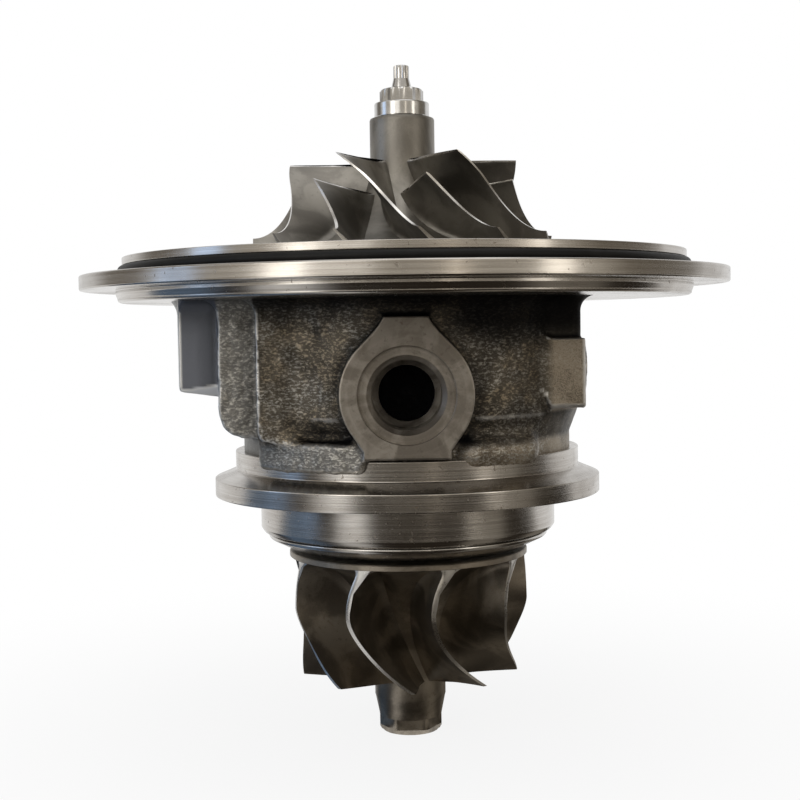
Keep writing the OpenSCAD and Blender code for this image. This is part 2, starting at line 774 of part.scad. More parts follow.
module compressor_wheel() {
    hub_steps = 16;
    bore_d = stub_d + 2 * running_gap;
    nose_edge = 0.5;
    curve = [for (i = [0 : hub_steps]) comp_hub_line(i / hub_steps)];
    color(alloy)
        difference() {
            union() {
                rotate_extrude($fn = 96)
                    polygon(concat(
                        [[0, comp_top_z], [comp_hub_r - nose_edge, comp_top_z],
                            [comp_hub_r, comp_top_z - nose_edge]],
                        curve,
                        [[comp_r, comp_floor_z], [comp_r, comp_z + 0.3], [sleeve_d / 2 + 0.4, comp_z + 0.3],
                            [sleeve_d / 2, comp_z], [0, comp_z]]));
                for (i = [0 : comp_blades - 1])
                    rotate([0, 0, i * 360 / comp_blades]) {
                        lofted_blade(function(u, s, side) comp_point(u, s, side));
                        rotate([0, 0, 180 / comp_blades])
                            lofted_blade(function(u, s, side)
                                comp_point(mix(splitter_start, 1, u), s, side));
                    }
            }
            drill(bore_d, comp_z - 1, comp_h + 2);
        }
}

module compressor_nut() {
    points_z = nut_z + nut_collar_h;
    edge_h = 0.5;
    color(bright)
        difference() {
            union() {
                rotate_extrude()
                    polygon([[0, nut_z], [nut_collar_d / 2 - 0.2, nut_z], [nut_collar_d / 2, nut_z + 0.2],
                        [nut_collar_d / 2, points_z - edge_h], [nut_collar_d / 2 - edge_h, points_z],
                        [0, points_z]]);
                intersection() {
                    for (turn = [0, 30])
                        rotate([0, 0, turn])
                            translate([0, 0, points_z - 0.1])
                                cylinder(d = nut_points_d, h = nut_points_h + 0.1, $fn = 6);
                    rotate_extrude()
                        polygon([[0, points_z - 1], [nut_points_d, points_z - 1],
                            [nut_points_d, nut_top_z - 3.2], [nut_points_d / 2 - 0.9, nut_top_z],
                            [0, nut_top_z]]);
                }
            }
            drill(stub_d + 2 * running_gap, nut_z - 1, nut_collar_h + nut_points_h + 2);
        }
}

module turbine_wheel() {
    hub_steps = 16;
    neck_groove_d = turb_neck_d + 4 * seat_gap - 2 * ring_w - 0.8;
    nose_r = nose_hex / 2 + 0.75;
    hex_h = 3.3;
    cone_h = 4.2;
    nose_edge = 0.6;
    curve = [for (i = [0 : hub_steps]) turb_hub_line(i / hub_steps)];
    color(heat_alloy)
        difference() {
            union() {
                rotate_extrude($fn = 96)
                    polygon(concat(
                        [[0, neck_top_z], [turb_neck_d / 2 - 0.3, neck_top_z],
                            [turb_neck_d / 2, neck_top_z - 0.3], [turb_neck_d / 2, turb_back_z + 0.8],
                            [turb_neck_d / 2 + 1.5, turb_back_z], [turb_r, turb_back_z],
                            [turb_r, turb_blade_z]],
                        curve,
                        [[turb_hub_r, turb_nose_z + hex_h + cone_h], [nose_r, turb_nose_z + hex_h],
                            [0, turb_nose_z + hex_h]]));
                intersection() {
                    translate([0, 0, turb_nose_z])
                        cylinder(d = nose_hex / cos(30), h = hex_h + 0.5, $fn = 6);
                    rotate_extrude()
                        polygon([[0, turb_nose_z], [nose_r - nose_edge, turb_nose_z],
                            [nose_r, turb_nose_z + nose_edge], [nose_r, turb_nose_z + hex_h + 1],
                            [0, turb_nose_z + hex_h + 1]]);
                }
                for (i = [0 : turb_blades - 1])
                    rotate([0, 0, i * 360 / turb_blades])
                        lofted_blade(function(u, s, side) turb_point(u, s, side));
            }
            ring(turb_neck_d + 2, neck_groove_d, turb_ring_z - ring_side_gap, ring_t + 2 * ring_side_gap);
        }
}

bearing_housing();
cover_o_ring();
seal_plate();
seal_plate_o_ring();
seal_plate_circlip();
oil_deflector();
thrust_bearing();
thrust_pins();
heat_shield();
compressor_seal_ring();
turbine_seal_ring();
bush_retaining_rings();
compressor_journal_bush();
turbine_journal_bush();
rotor_shaft();
thrust_collar();
flinger_sleeve();
compressor_wheel();
compressor_nut();
turbine_wheel();
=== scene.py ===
"""Looks of a turbocharger cartridge: cast housing, turned flanges and a bladed rotor."""

import logging
import math
from abc import ABC, abstractmethod
from dataclasses import dataclass, field
from enum import Enum
from typing import Sequence

import bpy
import numpy as np
from mathutils import Euler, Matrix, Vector


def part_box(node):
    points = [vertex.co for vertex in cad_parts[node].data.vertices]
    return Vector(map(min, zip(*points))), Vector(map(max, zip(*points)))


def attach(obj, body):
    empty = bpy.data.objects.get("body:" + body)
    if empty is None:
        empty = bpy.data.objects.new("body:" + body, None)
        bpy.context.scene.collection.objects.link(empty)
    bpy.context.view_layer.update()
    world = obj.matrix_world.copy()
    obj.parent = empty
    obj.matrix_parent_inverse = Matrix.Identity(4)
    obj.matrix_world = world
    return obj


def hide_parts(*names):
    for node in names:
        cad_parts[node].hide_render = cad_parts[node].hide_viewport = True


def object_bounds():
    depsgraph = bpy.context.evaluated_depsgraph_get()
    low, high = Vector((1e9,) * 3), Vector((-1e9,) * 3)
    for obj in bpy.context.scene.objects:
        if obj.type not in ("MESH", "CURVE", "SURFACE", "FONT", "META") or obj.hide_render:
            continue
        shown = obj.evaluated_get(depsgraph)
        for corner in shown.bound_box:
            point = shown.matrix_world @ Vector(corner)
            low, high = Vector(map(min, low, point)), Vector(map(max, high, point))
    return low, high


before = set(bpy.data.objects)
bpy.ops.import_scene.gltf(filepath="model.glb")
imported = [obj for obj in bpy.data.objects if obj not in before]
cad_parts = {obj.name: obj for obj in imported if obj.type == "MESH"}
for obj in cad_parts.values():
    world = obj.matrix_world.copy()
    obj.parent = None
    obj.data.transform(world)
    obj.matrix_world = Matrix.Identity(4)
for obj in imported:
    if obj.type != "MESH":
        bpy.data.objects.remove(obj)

LOG = logging.getLogger("turbo_cartridge")
MM = 0.001
CAD_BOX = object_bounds()
Colour = tuple[float, float, float]


class Body(Enum):
    """The bodies that pieces ride on."""

    HOUSING = "housing"
    ROTOR = "rotor"


class Slot(Enum):
    """The record's material slots, passed along with new pieces but not given to them."""

    CAST_HOUSING = "cast_housing"
    SEAL_RUBBER = "seal_rubber"
    MACHINED_STEEL = "machined_steel"
    POLISHED_STEEL = "polished_steel"
    SHIELD_SHEET = "shield_sheet"
    WHEEL_ALLOY = "wheel_alloy"
    TURBINE_ALLOY = "turbine_alloy"


class Axis(Enum):
    """The way a port points, as the sign of Y."""

    FRONT = -1
    REAR = 1


# Shader graphs


@dataclass(frozen=True)
class Value:
    """A number that a node gives, on which Python's operators add Math nodes."""

    graph: "Graph"
    socket: bpy.types.NodeSocket

    def _math(self, operation: str, *terms: "Value | float") -> "Value":
        """Adds one Math node.

        Args:
            operation: Name of the Math node's operation.
            terms: Values or numbers for its sockets, in order.

        Returns:
            The node's result.
        """
        made = self.graph.node("Math", {"operation": operation}, dict(enumerate(terms)))
        return Value(self.graph, made.outputs[0])

    def __add__(self, other: "Value | float") -> "Value":
        """Sum."""
        return self._math("ADD", self, other)

    __radd__ = __add__

    def __sub__(self, other: "Value | float") -> "Value":
        """Difference."""
        return self._math("SUBTRACT", self, other)

    def __rsub__(self, other: float) -> "Value":
        """Difference from a number."""
        return self._math("SUBTRACT", other, self)

    def __mul__(self, other: "Value | float") -> "Value":
        """Product."""
        return self._math("MULTIPLY", self, other)

    __rmul__ = __mul__

    def __pow__(self, other: float) -> "Value":
        """Power."""
        return self._math("POWER", self, other)

    def most(self, other: "Value | float") -> "Value":
        """The larger of two values."""
        return self._math("MAXIMUM", self, other)

    def band(self, low: float, high: float) -> "Value":
        """Maps a range smoothly to 0 to 1.

        Args:
            low: Value that becomes 0.
            high: Value that becomes 1.

        Returns:
            The eased share between the two.
        """
        made = self.graph.node("MapRange", {"interpolation_type": "SMOOTHSTEP"},
                               {"Value": self, "From Min": low, "From Max": high})
        return Value(self.graph, made.outputs[0])


class Graph:
    """Adds nodes to the tree of one material or world."""

    def __init__(self, tree: bpy.types.NodeTree) -> None:
        """Keeps the tree and clears it.

        Args:
            tree: Node tree to fill.
        """
        self.tree = tree
        tree.nodes.clear()

    def node(self, kind: str, settings: dict | None = None, inputs: dict | None = None) -> bpy.types.Node:
        """Adds one node.

        Args:
            kind: Node type without its ShaderNode prefix.
            settings: Properties, set before the sockets.
            inputs: Values or links by the socket's name or number.

        Returns:
            The new node.
        """
        made = self.tree.nodes.new("ShaderNode" + kind)
        for key, setting in (settings or {}).items():
            setattr(made, key, setting)
        for key, value in (inputs or {}).items():
            socket = made.inputs[key]
            if isinstance(value, Value):
                self.tree.links.new(value.socket, socket)
            elif isinstance(value, bpy.types.NodeSocket):
                self.tree.links.new(value, socket)
            else:
                socket.default_value = value
        return made

    def attribute(self, name: str) -> Value:
        """A number that the mesh carries on its points."""
        return Value(self, self.node("Attribute", {"attribute_name": name}).outputs["Fac"])

    def spot_mm(self) -> bpy.types.NodeSocket:
        """The place on the piece in millimetres, as a vector."""
        place = self.node("TexCoord").outputs["Object"]
        return self.node("VectorMath", {"operation": "SCALE"}, {0: place, "Scale": 1 / MM}).outputs[0]

    def parts(self, vector: bpy.types.NodeSocket) -> list[Value]:
        """The three numbers of a vector."""
        made = self.node("SeparateXYZ", None, {0: vector})
        return [Value(self, socket) for socket in made.outputs]

    def vector(self, x: Value | float, y: Value | float, z: Value | float) -> bpy.types.NodeSocket:
        """A vector from three numbers."""
        return self.node("CombineXYZ", None, {0: x, 1: y, 2: z}).outputs[0]

    def noise(self, vector: bpy.types.NodeSocket, scale: float, detail: float = 3, bend: float = 0) -> Value:
        """A noise value.

        Args:
            vector: Where it is read.
            scale: Lumps per millimetre.
            detail: Octaves.
            bend: Distortion of the lumps.

        Returns:
            A value of about 0.5.
        """
        made = self.node("TexNoise", None, {"Vector": vector, "Scale": scale, "Detail": detail,
                                            "Distortion": bend})
        return Value(self, made.outputs["Fac"])

    def blend(self, share: Value, first: Colour | bpy.types.NodeSocket,
              second: Colour | bpy.types.NodeSocket) -> bpy.types.NodeSocket:
        """Mixes two colours.

        Args:
            share: 0 for the first colour, 1 for the second.
            first: Colour or link.
            second: Colour or link.

        Returns:
            The mixed colour.
        """
        ends = [(*c, 1) if isinstance(c, tuple) else c for c in (first, second)]
        made = self.node("Mix", {"data_type": "RGBA"}, {0: share, 6: ends[0], 7: ends[1]})
        return made.outputs[2]

    def bump(self, height: Value, depth_mm: float, strength: float = 1.0) -> bpy.types.NodeSocket:
        """A normal that follows a height.

        Args:
            height: Height from 0 to 1.
            depth_mm: Depth of a height of 1.
            strength: Share of the effect.

        Returns:
            The normal.
        """
        made = self.node("Bump", None, {"Strength": strength, "Distance": depth_mm * MM, "Height": height})
        return made.outputs[0]

    def skin(self, **sockets: object) -> None:
        """Ends the material in one Principled shader, with sockets named in snake case."""
        names = {key.replace("_", " ").title().replace("Ior", "IOR"): value for key, value in sockets.items()}
        shader = self.node("BsdfPrincipled", None, names)
        self.node("OutputMaterial", None, {"Surface": shader.outputs[0]})


# Finishes


def new_paint(name: str) -> tuple[bpy.types.Material, Graph]:
    """A new material and its empty graph."""
    made = bpy.data.materials.new(name)
    made.use_nodes = True
    return made, Graph(made.node_tree)


@dataclass(frozen=True)
class Finish(ABC):
    """A surface finish with a darker and a lighter tone."""

    name: str
    dark: Colour
    light: Colour
    roughness: float

    def material(self) -> bpy.types.Material:
        """The finish as a material, made once."""
        found = bpy.data.materials.get(self.name)
        if found:
            return found
        made, graph = new_paint(self.name)
        self.paint(graph)
        return made

    @abstractmethod
    def paint(self, graph: Graph) -> None:
        """Fills the material's graph."""


@dataclass(frozen=True)
class Turned(Finish):
    """Metal turned on a lathe about Z, with fine rings and faint stains."""

    ring_mm: float = 0.25
    ring_depth_mm: float = 0.03
    stain: Colour = (0.15, 0.115, 0.085)
    stain_share: float = 0.24

    def paint(self, graph: Graph) -> None:
        """Fills the material's graph."""
        spot = graph.spot_mm()
        x, y, z = graph.parts(spot)
        radius = (x * x + y * y) ** 0.5
        rings = graph.noise(graph.vector(radius, z, 0.0), 1 / self.ring_mm, 3)
        streak = graph.noise(graph.vector(x * 0.05, y * 0.05, z * 1.4 + radius * 1.4), 1.0, 4)
        patch = graph.noise(spot, 0.06, 4, 0.6).band(0.44, 0.68)
        speck = graph.noise(spot, 1.1, 3).band(0.66, 0.72)
        tone = (rings * 0.45 + streak * 0.55).band(0.3, 0.7)
        clean = graph.blend(tone, self.dark, self.light)
        marked = graph.blend((patch * self.stain_share + speck * 0.5), clean, self.stain)
        rough = self.roughness + (rings - 0.5) * 0.14 + patch * 0.08 + speck * 0.15
        graph.skin(base_color=marked, metallic=1.0, roughness=rough,
                   normal=graph.bump(rings * 0.7 + streak * 0.3, self.ring_depth_mm, 0.35))


@dataclass(frozen=True)
class Milled(Finish):
    """A face milled round an axis along Y, with cutter rings and rubbed patches, darker to its top."""

    centre_z: float = 0.0
    ring_mm: float = 0.45
    # Darkens the scuffs, and the face more towards its top.
    stain: Colour = (0.085, 0.072, 0.058)

    def paint(self, graph: Graph) -> None:
        """Fills the material's graph."""
        spot = graph.spot_mm()
        x, y, z = graph.parts(spot)
        up = z - self.centre_z
        radius = (x * x + up * up) ** 0.5
        rings = graph.noise(graph.vector(radius, y, 0.0), 1 / self.ring_mm, 2)
        patch = graph.noise(spot, 0.22, 4, 0.8).band(0.38, 0.68)
        scuff = graph.noise(graph.vector(x * 0.5 + up, y, up * 0.5 - x), 0.9, 3).band(0.60, 0.70)
        fine = graph.noise(spot, 3.0, 3)
        high = up.band(2.0, 15.0)
        tone = graph.blend((rings * 0.3 + fine * 0.3 + patch * 0.5).band(0.15, 0.95), self.dark, self.light)
        marked = graph.blend((high * 0.5 + scuff * 0.25), tone, self.stain)
        rough = self.roughness + (fine - 0.5) * 0.14 + patch * 0.08
        graph.skin(base_color=marked, metallic=0.9, roughness=rough,
                   normal=graph.bump(rings * 0.4 + fine * 0.6, 0.03, 0.4))


@dataclass(frozen=True)
class SandCast(Finish):
    """Sand-cast iron with fine grain, pale and golden specks painted as glints on its crests, rubbed edges
    with a painted edge highlight, a painted reflection on the drain bevel, painted light on the left block
    and painted shade in its recesses and under the flange.
    """

    slate: Colour = (0.165, 0.176, 0.204)
    ash: Colour = (0.215, 0.208, 0.193)
    tan: Colour = (0.39, 0.335, 0.262)
    tan_low: Colour = (0.17, 0.142, 0.108)
    # fleck and gold colour the grain's crests as painted glints.
    fleck: Colour = (0.56, 0.54, 0.49)
    gold: Colour = (0.52, 0.41, 0.26)
    # Bright rubbed metal on edges, also standing as a painted edge highlight, and on the faced pads.
    bright: Colour = (0.62, 0.61, 0.59)
    # Pale tone of the drain flange's bevel: a painted reflection.
    bevel: Colour = (0.60, 0.61, 0.63)
    # Near-black of the painted shade in recesses and under the flange.
    painted_shade_colour: Colour = (0.003, 0.003, 0.004)
    slate_x: float = -37.0
    gold_x: float = -29.2
    feed_x: float = 29.0
    lobe_z: float = 12.2
    pad_low_x: float = -45.0
    pad_high_x: float = 37.85

    def paint(self, graph: Graph) -> None:
        """Fills the material's graph."""
        spot = graph.spot_mm()
        x, y, z = graph.parts(spot)
        edge_wear_and_highlight, grain, shade, pale = map(graph.attribute, ("edge_wear_and_highlight", "grain", "shade", "pale"))
        drawn = graph.vector(x * 0.62, y * 0.62, z * 1.25)
        worm = graph.noise(drawn, 2.1, 2, 0.5)
        fine = graph.noise(spot, 4.6, 3, 0.2)
        patch = graph.noise(spot, 0.10, 3, 0.5).band(0.36, 0.66)
        # The grain's crests get pale or golden flecks: painted glints.
        crest = (worm * 0.7 + fine * 0.3).band(0.46, 0.66) * grain
        # The left block past gold_x gets a lighter ash ground and more flecks: painted light from the left.
        boss = x.band(self.gold_x + 0.3, self.gold_x - 0.3)
        feed = x.band(self.feed_x - 1.5, self.feed_x + 0.5) * z.band(17.0, 18.2) * z.band(32.4, 31.9)
        low = z.band(self.lobe_z + 0.8, self.lobe_z - 0.8)
        # Share of golden rather than pale painted glints, kept off the left block and the low lobes.
        gold_share = graph.noise(spot, 0.17, 2).band(0.42, 0.60) * (1 - boss) * (1 - low)
        ground = graph.blend(patch * 0.6 + fine * 0.3, self.dark, self.light)
        ground = graph.blend(boss.most(low * 0.75), ground, self.ash)
        worn = graph.blend((patch * 0.3 + fine).band(0.42, 0.86), self.tan_low, self.tan)
        ground = graph.blend(feed.most(low * x.band(2.0, 10.0)), ground, worn)
        tip = graph.blend(gold_share * 0.85, self.fleck, self.gold)
        rough_skin = graph.blend(crest * (patch * 0.25 + 0.35 + boss.most(low) * 0.4), ground, tip)
        smooth_skin = graph.blend((fine - 0.35) * 0.3, self.slate, self.ash)
        skin = graph.blend(x.band(self.slate_x + 0.4, self.slate_x), rough_skin, smooth_skin)
        # The drain flange's bevel is painted pale, made less metallic and kept free of painted shade: a
        # painted reflection.
        skin = graph.blend(pale, skin, self.bevel)
        # Convex edges are painted bright: rubbed wear and a painted edge highlight.
        rubbed = graph.blend(edge_wear_and_highlight * 0.8, skin, self.bright)
        drain_pad = x.band(self.pad_low_x + 0.1, self.pad_low_x)
        pad = drain_pad.most(x.band(self.pad_high_x - 0.1, self.pad_high_x))
        cut = graph.noise(graph.vector(y, z * 6.0, 0.0), 0.9, 3)
        faced = graph.blend(pad * (cut * 0.4 + 0.6), rubbed, self.bright)
        # Painted shade: a band under the flange, a dark patch at the front below it and the recess shade
        # attribute, lighter on the left block, feed, bevel and lobes.
        under = z.band(35.5, 39.5) * (1 - boss * 0.6) * 0.85
        painted_shade_share = (z.band(28.0, 36.0) * x.band(-4.0, 14.0) * 0.92).most(under).most(shade * (1 - boss * 0.45))
        painted_shade_share = painted_shade_share * (1 - feed * 0.75) * (1 - pale) * (1 - low * 0.55)
        tone = graph.blend(painted_shade_share, faced, self.painted_shade_colour)
        rough = self.roughness + (fine - 0.5) * 0.16 - crest * 0.12 - edge_wear_and_highlight * 0.16 - pad * 0.16 + painted_shade_share * 0.2
        height = (worm * 0.7 + fine * 0.3) * (grain * 0.95 + 0.05) * (1 - pad) + cut * pad * 0.1
        graph.skin(base_color=tone, metallic=0.85 - pale * 0.75, roughness=rough,
                   normal=graph.bump(height, 0.22, 0.8))


@dataclass(frozen=True)
class AsCast(Finish):
    """Fine investment-cast alloy with a matt skin and a few darker blotches."""

    metallic: float = 1.0
    grain_depth_mm: float = 0.035

    def paint(self, graph: Graph) -> None:
        """Fills the material's graph."""
        spot = graph.spot_mm()
        fine = graph.noise(spot, 3.2, 4)
        patch = graph.noise(spot, 0.11, 4, 0.8).band(0.36, 0.66)
        fleck = graph.noise(spot, 1.1, 3).band(0.60, 0.70)
        tone = graph.blend((patch * 0.75 + fine * 0.45 - 0.1).band(0.0, 1.0), self.dark, self.light)
        marked = graph.blend(fleck * 0.4, tone, self.dark)
        rough = self.roughness + fine * 0.14 + patch * 0.05 - 0.06
        graph.skin(base_color=marked, metallic=self.metallic, roughness=rough,
                   normal=graph.bump(fine, self.grain_depth_mm, 0.6))


@dataclass(frozen=True)
class Ground(Finish):
    """Bright ground or polished metal with hairline scratches."""

    line_mm: float = 0.5

    def paint(self, graph: Graph) -> None:
        """Fills the material's graph."""
        spot = graph.spot_mm()
        x, y, z = graph.parts(spot)
        lines = graph.noise(graph.vector(x * 0.3, y * 0.3, z), 6 / self.line_mm, 3)
        patch = graph.noise(spot, 0.35, 3).band(0.4, 0.7)
        tone = graph.blend(lines * 0.5 + patch * 0.5, self.dark, self.light)
        rough = self.roughness + (lines - 0.5) * 0.12 + patch * 0.06
        graph.skin(base_color=tone, metallic=1.0, roughness=rough, normal=graph.bump(lines, 0.012, 0.3))


@dataclass(frozen=True)
class Rubber(Finish):
    """Moulded black rubber with a dry bloom."""

    def paint(self, graph: Graph) -> None:
        """Fills the material's graph."""
        spot = graph.spot_mm()
        fine = graph.noise(spot, 2.6, 4)
        bloom = graph.noise(spot, 0.2, 3).band(0.4, 0.75)
        tone = graph.blend(bloom * 0.7 + fine * 0.2, self.dark, self.light)
        graph.skin(base_color=tone, metallic=0.0, roughness=self.roughness + fine * 0.2 - 0.1,
                   specular_ior_level=0.2, normal=graph.bump(fine, 0.03, 0.5))


TURNED_IRON = Turned("turned_iron", (0.38, 0.35, 0.315), (0.54, 0.515, 0.48), 0.20)
PORT_TONES = ((0.215, 0.191, 0.163), (0.385, 0.352, 0.308))
# Near-black for the deep port bore: painted shade.
BORE_PAINTED_SHADE = AsCast("bore_in_painted_shade", (0.008, 0.008, 0.009), (0.022, 0.021, 0.022), 0.30)
CAST_IRON = SandCast("sand_cast_iron", (0.038, 0.033, 0.026), (0.150, 0.130, 0.102), 0.50)
WHEEL_CAST = AsCast("compressor_wheel_skin", (0.190, 0.177, 0.157), (0.320, 0.301, 0.268), 0.42)
# Blade edge finish: machined tips, and painted highlight lines on the leading edges.
WHEEL_EDGE = Ground("compressor_blade_edge", (0.62, 0.60, 0.57), (0.80, 0.78, 0.75), 0.24)
TURBINE_CAST = AsCast("turbine_wheel_skin", (0.165, 0.143, 0.116), (0.375, 0.331, 0.272), 0.40)
# Blade edge finish: machined tips, and painted highlight lines on the leading edges.
TURBINE_EDGE = Ground("turbine_blade_edge", (0.55, 0.53, 0.50), (0.76, 0.74, 0.70), 0.28)
BRIGHT_STEEL = Ground("polished_steel_finish", (0.50, 0.49, 0.48), (0.68, 0.67, 0.65), 0.16)
SHEET_STEEL = Turned("shield_sheet_finish", (0.44, 0.42, 0.395), (0.60, 0.58, 0.55), 0.20, stain_share=0.3)
INNER_STEEL = Turned("inner_steel_finish", (0.45, 0.44, 0.42), (0.64, 0.63, 0.61), 0.28, stain_share=0.25)
BRONZE = Turned("bearing_bronze_finish", (0.48, 0.32, 0.13), (0.66, 0.47, 0.22), 0.30,
                stain=(0.26, 0.15, 0.06))
BLACK_RUBBER = Rubber("seal_rubber_finish", (0.0035, 0.0035, 0.0035), (0.011, 0.0105, 0.010), 0.50)


# Meshes


def linked(name: str, data: bpy.types.ID) -> bpy.types.Object:
    """A new object of the scene with this data."""
    made = bpy.data.objects.new(name, data)
    bpy.context.scene.collection.objects.link(made)
    return made


@dataclass
class Skin:
    """Points and faces of one piece in millimetres, with a finish number for each face."""

    points: list[np.ndarray] = field(default_factory=list)
    faces: list[tuple[int, ...]] = field(default_factory=list)
    finish_of: list[int] = field(default_factory=list)
    count: int = 0

    def add(self, points: np.ndarray, faces: Sequence[Sequence[int]],
            finish: Sequence[int] | int = 0) -> None:
        """Adds points and the faces between them.

        Args:
            points: Array of points, one in a row.
            faces: Corners of each face, numbered from this call's first point.
            finish: Finish number of all faces, or one for each.
        """
        self.points.append(np.asarray(points, float).reshape(-1, 3))
        self.faces.extend(tuple(int(i) + self.count for i in face) for face in faces)
        self.finish_of.extend([finish] * len(faces) if isinstance(finish, int) else finish)
        self.count += len(self.points[-1])

    def loft(self, rows: np.ndarray, loop: bool = False, finish: int = 0,
             strip: int | None = None, lead: int = 0, strip_finish: int = 1) -> None:
        """Joins rings of points, and closes the ends by fans or joins the last ring to the first.

        Args:
            rows: Rings with the same number of points, as an array of rings, points and places.
            loop: Whether the last ring joins the first.
            finish: Finish number of the faces.
            strip: Column of faces that gets another finish.
            lead: Number of first rings, with the first end, that get it too.
            strip_finish: Finish number of that column and those rings.
        """
        ring_count, width = rows.shape[:2]
        points = rows.reshape(-1, 3)
        faces, finish_of = [], []
        for i in range(ring_count if loop else ring_count - 1):
            here, after = i * width, (i + 1) % ring_count * width
            for j in range(width):
                k = (j + 1) % width
                faces.append((here + j, here + k, after + k, after + j))
                finish_of.append(strip_finish if j == strip or i < lead else finish)
        if not loop:
            first, last = len(points), len(points) + 1
            points = np.vstack([points, rows[0].mean(0), rows[-1].mean(0)])
            top = (ring_count - 1) * width
            for j in range(width):
                k = (j + 1) % width
                faces.append((first, k, j))
                faces.append((last, top + j, top + k))
                finish_of.extend([strip_finish if lead else finish, finish])
        self.add(points, faces, finish_of)

    def piece(self, name: str, finishes: Sequence[Finish], sharp_deg: float = 32) -> bpy.types.Object:
        """Makes the object.

        Args:
            name: Name of the piece.
            finishes: Finishes by number.
            sharp_deg: Angle from which an edge stays sharp.

        Returns:
            The new object, in metres.
        """
        mesh = bpy.data.meshes.new(name)
        mesh.from_pydata((np.vstack(self.points) * MM).tolist(), [], self.faces)
        for finish in finishes:
            mesh.materials.append(finish.material())
        mesh.polygons.foreach_set("material_index", self.finish_of)
        mesh.shade_smooth()
        mesh.set_sharp_from_angle(angle=math.radians(sharp_deg))
        return linked(name, mesh)


def full_turn(steps: int) -> np.ndarray:
    """Even steps of angle once round, in radians."""
    return np.arange(steps) * 2 * np.pi / steps


def ring(radius: np.ndarray, z: float) -> np.ndarray:
    """A ring about Z with one radius for each even step of angle."""
    angle = full_turn(len(radius))
    return np.stack([radius * np.cos(angle), radius * np.sin(angle), np.full_like(radius, z)], -1)


def ramp(value: np.ndarray, start: float, length: float) -> np.ndarray:
    """Share from 0 to 1 of the way that a value has gone from start over a length."""
    return np.clip((value - start) / length, 0, 1)


def mix(a: float | np.ndarray, b: float | np.ndarray, t: float | np.ndarray) -> float | np.ndarray:
    """The value between a and b at share t."""
    return a + (b - a) * t


def rounded(corners: Sequence[tuple[float, float]], radius: float, steps: int = 4) -> np.ndarray:
    """Rounds the corners of a closed outline and holds the flats beside them.

    Args:
        corners: Corners as radius and height.
        radius: Length that a corner takes from each side.
        steps: Parts of each corner.

    Returns:
        The outline's points.
    """
    points = np.array(corners, float)
    made = []
    for before, corner, after in zip(np.roll(points, 1, 0), points, np.roll(points, -1, 0)):
        ways = [before - corner, after - corner]
        lengths = [np.linalg.norm(way) for way in ways]
        starts = [corner + way / size * min(radius, 0.42 * size) for way, size in zip(ways, lengths)]
        holds = [corner + way / size * min(radius * 1.6, 0.47 * size) for way, size in zip(ways, lengths)]
        made.append(holds[0])
        for i in range(steps + 1):
            t = i / steps
            made.append((1 - t) ** 2 * starts[0] + 2 * t * (1 - t) * corner + t ** 2 * starts[1])
        made.append(holds[1])
    return np.array(made)


def turned_rows(profile: np.ndarray, turns: int = 288) -> np.ndarray:
    """Rings about Z through the points of a profile.

    Args:
        profile: Points as radius and height.
        turns: Points in each ring.

    Returns:
        An array of rings.
    """
    angle = full_turn(turns)
    r, z = profile[:, :1], profile[:, 1:]
    return np.stack([r * np.cos(angle), r * np.sin(angle), z + 0 * angle], -1)


def shaped_rows(reach: np.ndarray, profile: Sequence[tuple[float, float]]) -> np.ndarray:
    """Rings about Z that keep within both a profile's radius and an outline's reach.

    Args:
        reach: Reach of the outline at even steps of angle.
        profile: Points as radius and height.

    Returns:
        An array of rings.
    """
    return np.array([ring(np.minimum(reach, radius), z) for radius, z in profile])


def hexagon_reach(flats_mm: float, turn_deg: float, steps: int) -> np.ndarray:
    """Reach of a hexagon at even steps of angle.

    Args:
        flats_mm: Size across the flats.
        turn_deg: Angle of one corner.
        steps: Number of steps.

    Returns:
        Reach from the middle at each step.
    """
    angle = np.degrees(full_turn(steps)) - turn_deg
    return flats_mm / 2 / np.cos(np.radians((angle % 60) - 30))


def settle(piece: bpy.types.Object, body: Body, slot: Slot, *nodes: str) -> bpy.types.Object:
    """Rides a piece on its body and hides the nodes that it stands for.

    Args:
        piece: The piece.
        body: Body that carries it.
        slot: Material slot of its finish; not used.
        nodes: Nodes that it stands for.

    Returns:
        The piece.
    """
    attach(piece, body.value)
    if nodes:
        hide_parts(*nodes)
    LOG.info("%s rides on %s with %d faces", piece.name, body.value, len(piece.data.polygons))
    return piece


def turned_piece(name: str, corners: Sequence[tuple[float, float]], edge: float, finish: Finish, slot: Slot,
                 *nodes: str, flip: bool = False) -> bpy.types.Object:
    """Turns a closed outline about Z into a piece of the housing.

    Args:
        name: Name of the piece.
        corners: Corners as radius and height.
        edge: Length that rounding takes from each side of a corner.
        finish: Its finish.
        slot: Material slot of the finish.
        nodes: Nodes that it stands for.
        flip: Whether the outline runs the other way round.

    Returns:
        The piece.
    """
    rows = turned_rows(rounded(corners, edge))
    skin = Skin()
    skin.loft(rows[::-1] if flip else rows, loop=True)
    return settle(skin.piece(name, [finish]), Body.HOUSING, slot, *nodes)


def node_range(node: str) -> tuple[Vector, Vector]:
    """Lowest and highest corner of a node in millimetres."""
    low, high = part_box(node)
    return low / MM, high / MM


# Casting


def join(a: np.ndarray, b: np.ndarray, r: float) -> np.ndarray:
    """Distances to both shapes, with a fillet of radius r between them."""
    u, v = np.maximum(r - a, 0), np.maximum(r - b, 0)
    return np.maximum(r, np.minimum(a, b)) - np.sqrt(u * u + v * v)


def meet(a: np.ndarray, b: np.ndarray, r: float) -> np.ndarray:
    """Distances to what two shapes share, with its edge rounded to radius r."""
    u, v = np.maximum(r + a, 0), np.maximum(r + b, 0)
    return np.minimum(-r, np.maximum(a, b)) + np.sqrt(u * u + v * v)


